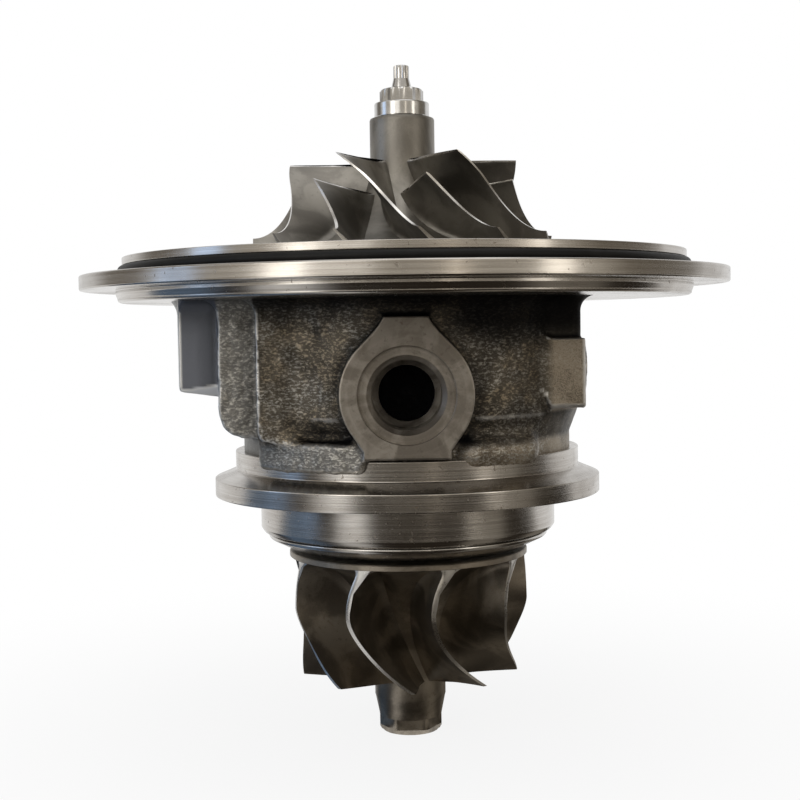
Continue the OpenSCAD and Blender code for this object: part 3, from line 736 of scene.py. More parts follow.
@dataclass(frozen=True)
class PortShape:
    """Keyhole outline of a coolant port: a disc with a square foot and a narrowing neck."""

    front_z: float = 21.9
    rear_z: float = 23.9
    disc_r: float = 12.75
    foot_half: float = 8.2
    foot_flare: float = 2.6
    foot_drop: float = 12.1
    neck_half: tuple[float, float] = (6.6, 4.2)
    neck_rise: tuple[float, float] = (9.5, 14.8)
    blend_r: float = 2.4

    def distance(self, across: np.ndarray, up: np.ndarray) -> np.ndarray:
        """Distances to the outline in its plane.

        Args:
            across: Places beside the port's axis.
            up: Places above the port's axis.

        Returns:
            Distances, negative inside.
        """
        side = np.abs(across)
        disc = np.sqrt(side * side + up * up) - self.disc_r
        flare = np.interp(up, [1.6 - self.foot_drop, 5.3 - self.foot_drop], [0, self.foot_flare])
        foot = np.maximum(side - self.foot_half - flare, up)
        neck = np.maximum(side - np.interp(up, self.neck_rise, self.neck_half), -up)
        neck = np.maximum(neck, up - self.neck_rise[1])
        return np.maximum(join(np.minimum(disc, foot), neck, self.blend_r), -up - self.foot_drop)

    def reach(self, steps: int) -> np.ndarray:
        """Reach of the outline from the port's axis at even steps of angle."""
        angle = full_turn(steps)
        low, high = np.full(steps, 5.0), np.full(steps, 20.0)
        for _ in range(30):
            middle = (low + high) / 2
            inside = self.distance(middle * np.cos(angle), middle * np.sin(angle)) < 0
            low, high = np.where(inside, middle, low), np.where(inside, high, middle)
        return low


PORT = PortShape()


@dataclass(frozen=True)
class Lobe:
    """A swell of the casting over the collar."""

    middle_deg: float
    half_deg: float
    outer_r: float
    low_z: float
    high_z: float
    blend_r: float
    round_r: float


LOBES = (*(Lobe(turn, 19.5, 38.2, 7.0, 12.9, 2.0, 1.3) for turn in (238, 122)),
         *(Lobe(turn, 14.0, 37.6, 8.2, 12.6, 3.6, 2.1) for turn in (301, 59)))


@dataclass
class Casting:
    """Sand-cast body of the bearing housing, grown from distances on a grid and skinned."""

    step: float = 0.4
    seed: int = 11
    grain_mm: float = 0.055
    swell_mm: float = 0.05
    low_z: float = 5.9
    end_z: float = 6.7
    top_z: float = 42.2
    step_z: float = 40.5
    fillet: float = 3.2
    edge: float = 0.45
    cheek: tuple[float, float, float] = (29.0, 30.0, 12.6)
    drain_boss: tuple[float, float, float] = (36.8, 26.0, 13.4)
    drain_flange: tuple[float, float, float] = (45.2, 22.0, 22.5)
    drain_t: float = 9.0
    drain_round: float = 0.9
    drain_fall: float = 0.15
    drain_bevel: float = 0.28
    feed_block: tuple[float, float, float, float] = (35.4, 24.0, 18.3, 32.1)
    feed_corner: tuple[float, float] = (28.6, 0.33)
    feed_wall: tuple[float, float] = (34.9, 22.4)
    feed_boss: tuple[float, float, float] = (6.5, 38.0, 25.2)
    feed_bore: tuple[float, float] = (4.4, 29.0)
    drain_bore: tuple[float, float] = (6.5, 29.9)
    drain_bolt: tuple[float, float, float] = (2.5, 16.0, 9.0)
    port_y: float = 38.3
    port_hole_r: float = 9.6
    port_floor: float = 22.0
    barrel_z: tuple[float, float] = (12.6, 17.0)
    barrel_r: tuple[float, float] = (34.6, 36.3)
    cheek_corner: float = 2.0
    boss_corner: float = 5.0
    block_blend: float = 1.0
    barrel_blend: float = 1.4
    feed_blend: float = 1.6
    port_blend: float = 1.0
    port_edge: float = 0.3
    wall_round: float = 2.5
    boss_blend: float = 0.8
    lobe_inner_r: float = 30.0
    under_r: float = 58.0
    under_gap: float = 0.1
    shaft_z: tuple[float, ...] = (32.0, 32.1, 35.5, 35.6)
    shaft_r: tuple[float, ...] = (7.6, 10.6, 10.6, 19.4)
    drain_end_x: float = -12.0
    trim_r: float = 50.0
    trim_top: float = 0.6
    shade_reach: tuple[float, ...] = (1.0, 2.4, 5.0, 9.0)

    def axes(self) -> tuple[np.ndarray, np.ndarray, np.ndarray]:
        """Open grids of X, Y and Z that hold the casting."""
        x = np.arange(-self.drain_flange[0] - 2, self.feed_boss[1] + 2, self.step, dtype=np.float32)
        y = np.arange(-self.port_y - 2, self.port_y + 2, self.step, dtype=np.float32)
        z = np.arange(self.low_z, self.top_z + 1, self.step, dtype=np.float32)
        return x[:, None, None], y[None, :, None], z[None, None, :]

    def block(self, x: np.ndarray, y: np.ndarray, z: np.ndarray, size: tuple[float, float, float],
              corner: float) -> np.ndarray:
        """A block that reaches out to -X from the shaft.

        Args:
            x: Grid of X.
            y: Grid of Y.
            z: Grid of Z.
            size: Reach, half width and bottom.
            corner: Radius of its lower corner.

        Returns:
            Distances to the block.
        """
        reach, half, low = size
        end = meet(-reach - x, low - z, corner)
        return meet(np.maximum(end, x), np.abs(y) - half, self.edge)

    def drain_under(self, x: np.ndarray, y: np.ndarray, z: np.ndarray) -> tuple[np.ndarray, np.ndarray]:
        """Height of the drain flange's falling underside, and distances to its growing bevel."""
        reach, half, low = self.drain_flange
        out = np.clip(x + reach, 0, self.drain_t)
        under = low - self.drain_fall * out
        return under, (np.abs(y) - half + self.drain_bevel * out + under - z) / math.sqrt(2)

    def drain(self, x: np.ndarray, y: np.ndarray, z: np.ndarray) -> np.ndarray:
        """Drain flange with its falling underside and growing lower bevel."""
        reach, half, _ = self.drain_flange
        under, bevel = self.drain_under(x, y, z)
        end = meet(-reach - x, under - z, self.drain_round)
        sides = np.maximum(np.abs(y) - half, bevel)
        return meet(np.maximum(end, x), sides, self.edge)

    def ports(self, x: np.ndarray, y: np.ndarray, z: np.ndarray) -> np.ndarray:
        """Keyhole bosses of both coolant ports."""
        middle = np.where(y < 0, PORT.front_z, PORT.rear_z)
        return meet(PORT.distance(x, z - middle), np.abs(y) - self.port_y, self.port_edge)

    def feed(self, x: np.ndarray, y: np.ndarray, z: np.ndarray) -> np.ndarray:
        """Block and boss of the oil feed, and the wall above them."""
        reach, half, low, high = self.feed_block
        start, lean = self.feed_corner
        corner = start - lean * (z - low) - x
        sides = np.maximum(np.maximum(np.abs(y) - half, corner), np.maximum(low - z, z - high))
        body = meet(np.maximum(sides, -x), x - reach, self.edge)
        wall = meet(x - self.feed_wall[0], np.abs(y) - self.feed_wall[1], self.wall_round)
        wall = np.maximum(np.maximum(wall, -x), high - 1 - z)
        radius, face, height = self.feed_boss
        boss = np.maximum(np.sqrt(y * y + (z - height) ** 2) - radius, x - face)
        return join(np.minimum(body, wall), np.maximum(boss, -x), self.boss_blend)

    def lobe(self, x: np.ndarray, y: np.ndarray, z: np.ndarray, lobe: Lobe) -> np.ndarray:
        """One swell over the collar."""
        radius = np.sqrt(x * x + y * y)
        off = (np.arctan2(y, x) - math.radians(lobe.middle_deg) + np.pi) % (2 * np.pi) - np.pi
        past = (np.abs(off) - math.radians(lobe.half_deg)) * lobe.outer_r
        band = meet(radius - lobe.outer_r, np.maximum(lobe.low_z - z, z - lobe.high_z), lobe.round_r)
        return np.maximum(meet(band, past, lobe.round_r * 1.3), self.lobe_inner_r - radius)

    def solid(self, x: np.ndarray, y: np.ndarray, z: np.ndarray) -> np.ndarray:
        """Distances to the casting's outside, before grain and bores."""
        radius = np.sqrt(x * x + y * y)
        barrel = radius - np.interp(z, self.barrel_z, self.barrel_r)
        blocks = self.block(x, y, z, self.cheek, self.cheek_corner)
        blocks = join(blocks, self.block(x, y, z, self.drain_boss, self.boss_corner), self.block_blend)
        blocks = join(blocks, self.drain(x, y, z), self.block_blend)
        body = join(barrel, blocks, self.barrel_blend)
        body = join(body, self.feed(x, y, z), self.feed_blend)
        body = join(body, self.ports(x, y, z), self.port_blend)
        for lobe in LOBES:
            body = join(body, self.lobe(x, y, z, lobe), lobe.blend_r)
        under = np.maximum(self.step_z + self.under_gap - z, radius - self.under_r)
        return join(body, under, self.fillet)

    def bored(self, solid: np.ndarray, x: np.ndarray, y: np.ndarray, z: np.ndarray) -> np.ndarray:
        """Cuts the bores and trims the ends.

        Args:
            solid: Distances to the outside.
            x: Grid of X.
            y: Grid of Y.
            z: Grid of Z.

        Returns:
            Distances to the bored casting.
        """
        radius = np.sqrt(x * x + y * y)
        shaft = radius - np.interp(z, self.shaft_z, self.shaft_r)
        middle = np.where(y < 0, PORT.front_z, PORT.rear_z)
        port = np.sqrt(x * x + (z - middle) ** 2) - self.port_hole_r
        port = np.maximum(port, self.port_floor - np.abs(y))
        drain = np.sqrt(y * y + (z - self.drain_bore[1]) ** 2) - self.drain_bore[0]
        drain = np.maximum(drain, x - self.drain_end_x)
        bolt_r, bolt_y, bolt_h = self.drain_bolt
        bolts = np.sqrt((np.abs(y) - bolt_y) ** 2 + (z - self.drain_bore[1]) ** 2) - bolt_r
        bolts = np.maximum(bolts, x + self.drain_flange[0] - bolt_h)
        feed = np.sqrt(y * y + (z - self.feed_boss[2]) ** 2) - self.feed_bore[0]
        feed = np.maximum(feed, self.feed_bore[1] - x)
        for bore in (shaft, port, drain, bolts, feed):
            solid = np.maximum(solid, -bore)
        ends = np.maximum(self.end_z - z, z - (self.top_z - self.trim_top))
        return np.maximum(np.maximum(solid, ends), radius - self.trim_r)

    def rough(self, shape: tuple[int, ...]) -> tuple[np.ndarray, np.ndarray]:
        """Fine grain and soft swells as two seeded random fields.

        Args:
            shape: Shape of the grid.

        Returns:
            Grain and swells, each with a spread of about 1.
        """
        draw = np.random.default_rng(self.seed)
        fields = []
        for block, passes in ((1, 2), (8, 9)):
            small = [-(-n // block) for n in shape]
            wild = draw.standard_normal(small).astype(np.float32)
            for axis in range(3):
                wild = np.repeat(wild, block, axis)
            wild = wild[:shape[0], :shape[1], :shape[2]]
            for _ in range(passes):
                for axis in range(3):
                    wild = (np.roll(wild, 1, axis) + 2 * wild + np.roll(wild, -1, axis)) / 4
            fields.append(wild / wild.std())
        return fields[0], fields[1]

    def grain_mask(self, x: np.ndarray, y: np.ndarray, z: np.ndarray) -> np.ndarray:
        """Where the skin is rough: less at port faces, drain flange, feed block and neck."""
        port_edge = ramp(self.port_y - np.abs(y), 0, 1.2)
        flange = 1 - 0.85 * ramp(-x - self.drain_boss[0], 0.2, 0.8)
        feed = 1 - 0.75 * ramp(x, 25, 4)
        neck = 1 - 0.8 * ramp(-x, 27, 2) * ramp(13.0 - z, 0, 1.0)
        return port_edge * flange * feed * neck

    def bevel_share(self, points: np.ndarray) -> np.ndarray:
        """Where points lie on the drain flange's bevel or underside.

        Args:
            points: Points on the skin in millimetres.

        Returns:
            A share from 0 to 1.
        """
        x, y, z = points.T
        off = np.abs(self.drain_under(x, y, z)[1])
        face = ramp(0.32 - off, 0, 0.12) * (z < self.drain_flange[2] + 3.0)
        return face * ramp(-x, self.drain_boss[0], 0.4)

    def recess(self, points: np.ndarray) -> np.ndarray:
        """How far a point lies in a recess, from the free way in front of it.

        Args:
            points: Points on the skin in millimetres.

        Returns:
            A share from 0, open, to 1, closed in.
        """
        small = 0.25
        slopes = []
        for axis in range(3):
            ahead, back = points.copy(), points.copy()
            ahead[:, axis] += small
            back[:, axis] -= small
            slopes.append(self.solid(*ahead.T) - self.solid(*back.T))
        normal = np.stack(slopes, 1)
        normal /= np.maximum(np.linalg.norm(normal, axis=1, keepdims=True), 1e-6)
        closed = np.zeros(len(points))
        for reach in self.shade_reach:
            free = self.solid(*(points + normal * reach).T)
            closed += ramp(reach - free, 0, reach) / len(self.shade_reach)
        return ramp(closed, 0.06, 0.42) ** 0.8

    @staticmethod
    def skin_of(values: np.ndarray) -> tuple[np.ndarray, np.ndarray]:
        """Skins the zero level of a grid with one point in each crossed cell.

        Args:
            values: Distances on the grid, negative inside.

        Returns:
            Points in grid steps, and faces of four corners.
        """
        inside = values < 0
        corners = [(i, j, k) for i in (0, 1) for j in (0, 1) for k in (0, 1)]
        nx, ny, nz = (n - 1 for n in values.shape)
        filled = sum(inside[i:nx + i, j:ny + j, k:nz + k].astype(np.int8) for i, j, k in corners)
        cells = np.argwhere((filled > 0) & (filled < 8))
        number = np.full((nx, ny, nz), -1, np.int64)
        number[tuple(cells.T)] = np.arange(len(cells))
        at = {c: values[tuple((cells + c).T)] for c in corners}
        total, count = np.zeros((len(cells), 3)), np.zeros(len(cells))
        for a in corners:
            for axis in range(3):
                if a[axis]:
                    continue
                b = tuple(v + (n == axis) for n, v in enumerate(a))
                crossed = (at[a] < 0) != (at[b] < 0)
                share = np.where(crossed, at[a] / np.where(crossed, at[a] - at[b], 1), 0)
                spot = np.array(a, float) + share[:, None] * np.eye(3)[axis]
                total += np.where(crossed[:, None], spot, 0)
                count += crossed
        faces = []
        for axis in range(3):
            p, q = (axis + 1) % 3, (axis + 2) % 3
            ahead = np.roll(inside, -1, axis)
            edges = np.argwhere(inside != ahead)
            limit = np.array(values.shape) - 1
            edges = edges[(edges < limit).all(1) & (edges[:, p] > 0) & (edges[:, q] > 0)]
            back_p, back_q = np.eye(3, dtype=int)[p], np.eye(3, dtype=int)[q]
            ring = [edges - back_p - back_q, edges - back_q, edges, edges - back_p]
            quad = np.stack([number[tuple(c.T)] for c in ring], 1)
            outward = inside[tuple(edges.T)]
            faces.append(np.where(outward[:, None], quad, quad[:, ::-1]))
        return cells + total / count[:, None], np.vstack(faces)

    def build(self) -> bpy.types.Object:
        """Grows, bores and skins the casting.

        Returns:
            The piece, with edge wear partly painted as highlight, grain, painted recess shade and the bevel's
            painted reflection as attributes.
        """
        x, y, z = self.axes()
        solid = self.solid(x, y, z).astype(np.float32)
        grain, swell = self.rough(solid.shape)
        mask = self.grain_mask(x, y, z)
        rough = solid + mask * (grain * self.grain_mm + swell * self.swell_mm)
        values = self.bored(rough, x, y, z)
        points, faces = self.skin_of(values)
        curl = sum(np.roll(solid, way, axis) for way in (-1, 1) for axis in range(3)) - 6 * solid
        near = tuple(np.clip(np.rint(points).astype(int), 1, np.array(solid.shape) - 2).T)
        # Convex edges: rubbed wear and painted edge highlight.
        edge_wear_and_highlight = ramp(curl[near] / self.step ** 2, 0.5, 0.7)
        start = np.array([x.min(), y.min(), z.min()])
        places = points * self.step + start
        skin = Skin()
        skin.add(places, faces)
        piece = skin.piece("housing_casting", [CAST_IRON], 75)
        layers = {"edge_wear_and_highlight": edge_wear_and_highlight, "grain": mask[near], "shade": self.recess(places),
                  "pale": self.bevel_share(places)}
        for name, values_at in layers.items():
            layer = piece.data.attributes.new(name, "FLOAT", "POINT")
            layer.data.foreach_set("value", values_at.astype(np.float32))
        return settle(piece, Body.HOUSING, Slot.CAST_HOUSING, "bearing_housing")


# Turned and milled parts of the housing


@dataclass
class HousingRings:
    """Compressor flange with its spigot, and turbine rim with its pilot."""

    edge: float = 0.16
    bevel: float = 0.22
    flange_t: float = 3.0
    flange_z: float = 46.0
    step_r: float = 60.4
    step_z: float = 40.5
    groove_r: float = 57.9
    relief_r: float = 60.5
    relief_h: float = 0.3
    groove_top_z: float = 48.1
    spigot_r: float = 59.0
    spigot_z: float = 49.7
    recess_r: float = 32.6
    recess_z: float = 48.8
    plate_r: float = 25.7
    plate_z: float = 40.0
    collar_r: float = 36.4
    collar_z: float = 5.4
    collar_top_z: float = 9.3
    rim_r: float = 40.8
    rim_t: float = 3.6
    pilot_r: float = 31.3
    pilot_z: float = -7.9
    pilot_chamfer: float = 0.9
    under_z: float = 38.6
    under_r: float = 34.0
    hole_r: float = 22.0
    land_in: float = 0.4
    land_rise: tuple[float, float] = (0.35, 0.7)
    land_t: float = 0.75
    step_toe: float = 0.9
    pilot_toe: float = 0.6
    bush_r: float = 7.4
    bush_z: float = 2.4
    seal_r: float = 10.2
    seal_z: float = -1.0
    neck_r: float = 8.85
    boss_z: float = -11.0
    boss_r: float = 13.6
    well_z: float = -4.0
    well_r: float = 23.0
    lip_z: float = -8.4
    lip_r: float = 27.0

    def flange(self) -> bpy.types.Object:
        """Builds the flange, step and spigot."""
        outer = min(abs(side) for corner in CAD_BOX for side in corner[:2]) / MM
        low_z, bevel = self.flange_z - self.flange_t, self.bevel
        land_r = self.step_r - self.land_in
        corners = [(self.hole_r, self.under_z), (self.under_r, self.under_z), (self.under_r, self.step_z),
                   (self.step_r - self.step_toe, self.step_z),
                   *((land_r, self.step_z + rise) for rise in self.land_rise),
                   (self.step_r, low_z - self.land_t), (self.step_r, low_z), (outer - bevel, low_z),
                   (outer, low_z + bevel), (outer, self.flange_z - bevel), (outer - bevel, self.flange_z),
                   (self.relief_r, self.flange_z), (self.relief_r, self.flange_z - self.relief_h),
                   (self.groove_r, self.flange_z - self.relief_h), (self.groove_r, self.groove_top_z),
                   (self.spigot_r, self.groove_top_z), (self.spigot_r, self.spigot_z),
                   (self.recess_r, self.spigot_z), (self.recess_r, self.recess_z),
                   (self.plate_r, self.recess_z), (self.plate_r, self.plate_z), (self.hole_r, self.plate_z)]
        return turned_piece("housing_flange", corners, self.edge, TURNED_IRON, Slot.MACHINED_STEEL)

    def turbine_rim(self) -> bpy.types.Object:
        """Builds the collar, clamp rim, pilot and nose boss."""
        corners = [(self.bush_r, self.collar_top_z), (self.bush_r, self.bush_z), (self.seal_r, self.bush_z),
                   (self.seal_r, self.seal_z), (self.neck_r, self.seal_z), (self.neck_r, self.boss_z),
                   (self.boss_r, self.boss_z), (self.boss_r, self.well_z), (self.well_r, self.well_z),
                   (self.well_r, self.lip_z), (self.lip_r, self.lip_z), (self.lip_r, self.pilot_z),
                   (self.pilot_r - self.pilot_toe, self.pilot_z),
                   (self.pilot_r, self.pilot_z + self.pilot_chamfer), (self.pilot_r, 0.0), (self.rim_r, 0.0),
                   (self.rim_r, self.rim_t), (self.collar_r, self.collar_z),
                   (self.collar_r, self.collar_top_z)]
        return turned_piece("turbine_rim", corners, self.edge, TURNED_IRON, Slot.MACHINED_STEEL, flip=True)

    def build(self) -> None:
        """Builds both rings."""
        self.flange()
        self.turbine_rim()


@dataclass
class CoolantPort:
    """Milled keyhole face and threaded bore of one coolant port."""

    way: Axis
    face_y: float = 38.5
    recess_r: float = 9.3
    recess_h: float = 1.2
    bore_r: float = 6.7
    chamfer: float = 0.9
    thread_h: float = 0.55
    pitch: float = 1.5
    turns: int = 5
    seat_r: float = 5.5
    depth: float = 17.0
    plate_t: float = 1.6
    bevel: float = 0.3
    steps: int = 360

    def __post_init__(self) -> None:
        """Takes the port's height for its side."""
        self.z = PORT.front_z if self.way is Axis.FRONT else PORT.rear_z

    def place(self, rows: np.ndarray) -> np.ndarray:
        """Turns rings of (across, up, depth) into the port's place.

        Args:
            rows: Rings about the port's axis, with depth under the face.

        Returns:
            The rings in the part's frame.
        """
        side = self.way.value
        across, up, depth = rows[..., 0], rows[..., 1], rows[..., 2]
        return np.stack([-side * across, side * (self.face_y - depth), up + self.z], -1)

    def plate(self, skin: Skin) -> None:
        """Adds the milled face with its hole."""
        outer, inner = PORT.reach(self.steps), np.full(self.steps, self.recess_r)
        edge = self.bevel * 0.3
        levels = [(inner, self.plate_t), (inner, 0.1), (inner + 0.1, 0.0), (outer - self.bevel * 1.6, 0.0),
                  (outer - self.bevel, 0.0), (outer - edge, edge), (outer, self.bevel), (outer, self.plate_t)]
        skin.loft(self.place(np.array([ring(radius, depth) for radius, depth in levels])), loop=True)

    def bore(self, skin: Skin) -> None:
        """Adds the recess, chamfer, thread, seat and, behind it, the bore painted black as shade."""
        start = self.recess_h + self.chamfer
        cut = [(self.recess_r + 0.25, 0.25), (self.recess_r, 0.3), (self.recess_r, self.recess_h),
               (self.bore_r + self.chamfer, self.recess_h), (self.bore_r, start)]
        for i in range(self.turns):
            at = start + i * self.pitch
            crest = (self.bore_r + self.thread_h, at + self.pitch * 0.55)
            cut += [(self.bore_r, at + self.pitch * 0.15), crest, (self.bore_r, at + self.pitch * 0.95)]
        end = start + self.turns * self.pitch
        cut += [(self.bore_r, end + 0.5), (self.seat_r, end + 1.5), (self.seat_r, end + 1.9),
                (self.recess_r + 0.25, end + 1.9)]
        skin.loft(self.place(turned_rows(np.array(cut), 120)), loop=True)
        deep = [(self.seat_r + 0.1, end + 1.7), (self.seat_r + 0.1, self.depth), (1.2, self.depth + 2.5),
                (1.2, self.depth + 3.5), (self.recess_r, self.depth + 3.5), (self.recess_r, end + 1.7)]
        skin.loft(self.place(turned_rows(np.array(deep), 120)), loop=True, finish=1)

    def build(self) -> bpy.types.Object:
        """Builds the port.

        Returns:
            The piece.
        """
        skin = Skin()
        self.plate(skin)
        self.bore(skin)
        side = self.way.name.lower()
        face = Milled(f"milled_port_{side}", *PORT_TONES, 0.40, centre_z=self.z)
        piece = skin.piece(f"coolant_port_{side}", [face, BORE_PAINTED_SHADE])
        return settle(piece, Body.HOUSING, Slot.MACHINED_STEEL)


@dataclass
class Seals:
    """Cover O-ring and pressed heat shield."""

    ring_t: float = 2.0
    ring_r: float = 58.95
    ring_z: float = 47.05
    ring_steps: int = 28
    shield_t: float = 0.8
    shield_hole_r: float = 14.0
    shield_dish_r: float = 25.0
    shield_lip_r: float = 29.7
    shield_edge: float = 0.3

    def o_ring(self) -> bpy.types.Object:
        """Builds the O-ring with its faint mould line."""
        turn = full_turn(self.ring_steps)
        swell = self.ring_t / 2 * (1 + 0.03 * np.exp(-(np.sin(turn) / 0.12) ** 2))
        profile = np.stack([self.ring_r + swell * np.cos(turn), self.ring_z + swell * np.sin(turn)], 1)
        skin = Skin()
        skin.loft(turned_rows(profile), loop=True)
        piece = skin.piece("cover_seal", [BLACK_RUBBER], 60)
        return settle(piece, Body.HOUSING, Slot.SEAL_RUBBER, "cover_o_ring")

    def heat_shield(self) -> bpy.types.Object:
        """Builds the dished sheet behind the turbine wheel."""
        low, high = node_range("heat_shield")
        top, floor = high.z, low.z
        corners = [(self.shield_dish_r + 1.0, top), (self.shield_lip_r, top),
                   (self.shield_lip_r, top - self.shield_t),
                   (self.shield_dish_r, floor), (self.shield_hole_r, floor),
                   (self.shield_hole_r, floor + self.shield_t),
                   (self.shield_dish_r - 0.6, floor + self.shield_t)]
        return turned_piece("shield_sheet", corners, self.shield_edge, SHEET_STEEL, Slot.SHIELD_SHEET,
                            "heat_shield", flip=True)

    def build(self) -> None:
        """Builds both."""
        self.o_ring()
        self.heat_shield()


# Rotor


@dataclass
class Wheel(ABC):
    """A bladed wheel: a revolved hub with blades between a hub line and a shroud line."""

    steps: int = 56
    spans: int = 22
    sink: float = 0.05
    root_share: float = 0.16
    root_swell: float = 1.5
    root_fall: float = 2.2
    nose_share: float = 0.018
    nose_least: float = 0.12
    crowd: float = 1.25
    lead: int = 2

    @abstractmethod
    def hub_line(self, u: np.ndarray) -> tuple[np.ndarray, np.ndarray]:
        """Radius and height of the hub at chord share u."""

    @abstractmethod
    def shroud_line(self, u: np.ndarray) -> tuple[np.ndarray, np.ndarray]:
        """Radius and height of the blade tips at chord share u."""

    @abstractmethod
    def turn_deg(self, u: np.ndarray, s: np.ndarray, z: np.ndarray) -> np.ndarray:
        """Angle of the blade from the front."""

    @abstractmethod
    def wall(self, u: np.ndarray, s: np.ndarray) -> np.ndarray:
        """Thickness of the blade."""

    def blade(self, skin: Skin, turn_deg: float, start: float = 0.0) -> None:
        """Adds one blade.

        Args:
            skin: Skin that it goes to.
            turn_deg: Turn about Z.
            start: Chord share of its leading edge.
        """
        share = np.linspace(0, 1, self.steps)[:, None] ** self.crowd
        u = mix(start, 1.0, share)
        s = np.linspace(-self.sink, 1, self.spans)[None, :]
        hub, tip = self.hub_line(u), self.shroud_line(u)
        r, z = mix(hub[0], tip[0], s), mix(hub[1], tip[1], s)
        root = np.clip(1 - np.maximum(s, 0) / self.root_share, 0, 1) ** self.root_fall * self.root_swell
        edge = np.sqrt(np.clip(share / self.nose_share, self.nose_least, 1))
        half = (self.wall(u, np.clip(s, 0, 1)) * edge + root) / 2
        angle = self.turn_deg(u, s, z)
        sides = []
        for way in (-1, 1):
            at = np.radians(angle + turn_deg) + way * half / r
            sides.append(np.stack([r * np.sin(at), -r * np.cos(at), z + 0 * at], -1))
        rows = np.concatenate([sides[0], sides[1][:, ::-1]], 1)
        # The tip strip takes the edge finish as machined metal; the leading rings take it as a painted
        # highlight line.
        skin.loft(rows, strip=self.spans - 1, lead=self.lead)


@dataclass
class CompressorWheel(Wheel):
    """Compressor wheel with full blades and splitters."""

    blades: int = 6
    reach: float = 32.0
    foot_h: float = 0.3
    splitter_start: float = 0.23
    hub_r: float = 6.85
    inlet_r: float = 24.0
    disc_t: float = 0.7
    blade_h: float = 20.5
    outlet_w: float = 3.8
    bend_h: float = 11.1
    straight: float = 0.3
    edge_gap: float = 0.1
    first: float = -33.5
    wrap: float = 38.5
    wrap_ease: float = 1.8
    lean_in: float = -9.0
    lean_out: float = 7.0
    root_t: float = 1.7
    tip_t: float = 0.65
    thin_ease: float = 0.6
    inlet_thin: float = 0.75
    bore_r: float = 2.55
    foot_r: float = 7.4
    nose_edge: float = 0.5

    def __post_init__(self) -> None:
        """Reads the wheel's height from the frame."""
        low, high = node_range("compressor_wheel")
        self.low_z, self.top_z = low.z, high.z
        self.blade_z = self.low_z + self.blade_h
        self.floor_z = self.low_z + self.foot_h + self.disc_t
        self.bend_z = self.floor_z + self.outlet_w + self.bend_h

    def hub_line(self, u: np.ndarray) -> tuple[np.ndarray, np.ndarray]:
        """Radius and height of the hub at chord share u."""
        turn = np.pi / 2 * u
        return (mix(self.hub_r, self.reach - self.edge_gap, 1 - np.cos(turn)),
                mix(self.blade_z, self.floor_z, np.sin(turn)))

    def shroud_line(self, u: np.ndarray) -> tuple[np.ndarray, np.ndarray]:
        """Radius and height of the blade tips at chord share u."""
        bend = u * (1 + self.straight) - self.straight
        turn = np.pi / 2 * np.maximum(bend, 0)
        rise = np.maximum(-bend, 0) / self.straight
        return (mix(self.inlet_r, self.reach - self.edge_gap, 1 - np.cos(turn)),
                mix(self.bend_z, self.blade_z, rise) - self.bend_h * np.sin(turn))

    def turn_deg(self, u: np.ndarray, s: np.ndarray, z: np.ndarray) -> np.ndarray:
        """Angle of the blade from the front."""
        wrapped = self.first + self.wrap * (1 - (1 - u) ** self.wrap_ease)
        return wrapped + (1 - s) * mix(self.lean_in, self.lean_out, u)

    def wall(self, u: np.ndarray, s: np.ndarray) -> np.ndarray:
        """Thickness of the blade."""
        along = mix(self.inlet_thin, 1.0, np.minimum(1, 4 * u))
        return mix(self.root_t, self.tip_t, s ** self.thin_ease) * along

    def hub(self, skin: Skin) -> None:
        """Adds the revolved hub and back disc."""
        curve = list(zip(*self.hub_line(np.linspace(0, 1, 40))))
        profile = [(self.bore_r, self.top_z), (self.hub_r - self.nose_edge, self.top_z),
                   (self.hub_r - self.nose_edge * 0.3, self.top_z - self.nose_edge * 0.3),
                   (self.hub_r, self.top_z - self.nose_edge), (self.hub_r, self.top_z - 2 * self.nose_edge),
                   *curve, (self.reach, self.floor_z), (self.reach, self.low_z + self.foot_h),
                   (self.foot_r + 0.4, self.low_z + self.foot_h), (self.foot_r, self.low_z),
                   (self.bore_r, self.low_z)]
        skin.loft(turned_rows(np.array(profile), 180)[::-1], loop=True)

    def build(self) -> bpy.types.Object:
        """Builds the wheel.

        Returns:
            The piece.
        """
        skin = Skin()
        self.hub(skin)
        for i in range(self.blades):
            turn = i * 360 / self.blades
            self.blade(skin, turn)
            self.blade(skin, turn + 180 / self.blades, self.splitter_start)
        piece = skin.piece("compressor_impeller", [WHEEL_CAST, WHEEL_EDGE])
        return settle(piece, Body.ROTOR, Slot.WHEEL_ALLOY, "compressor_wheel")


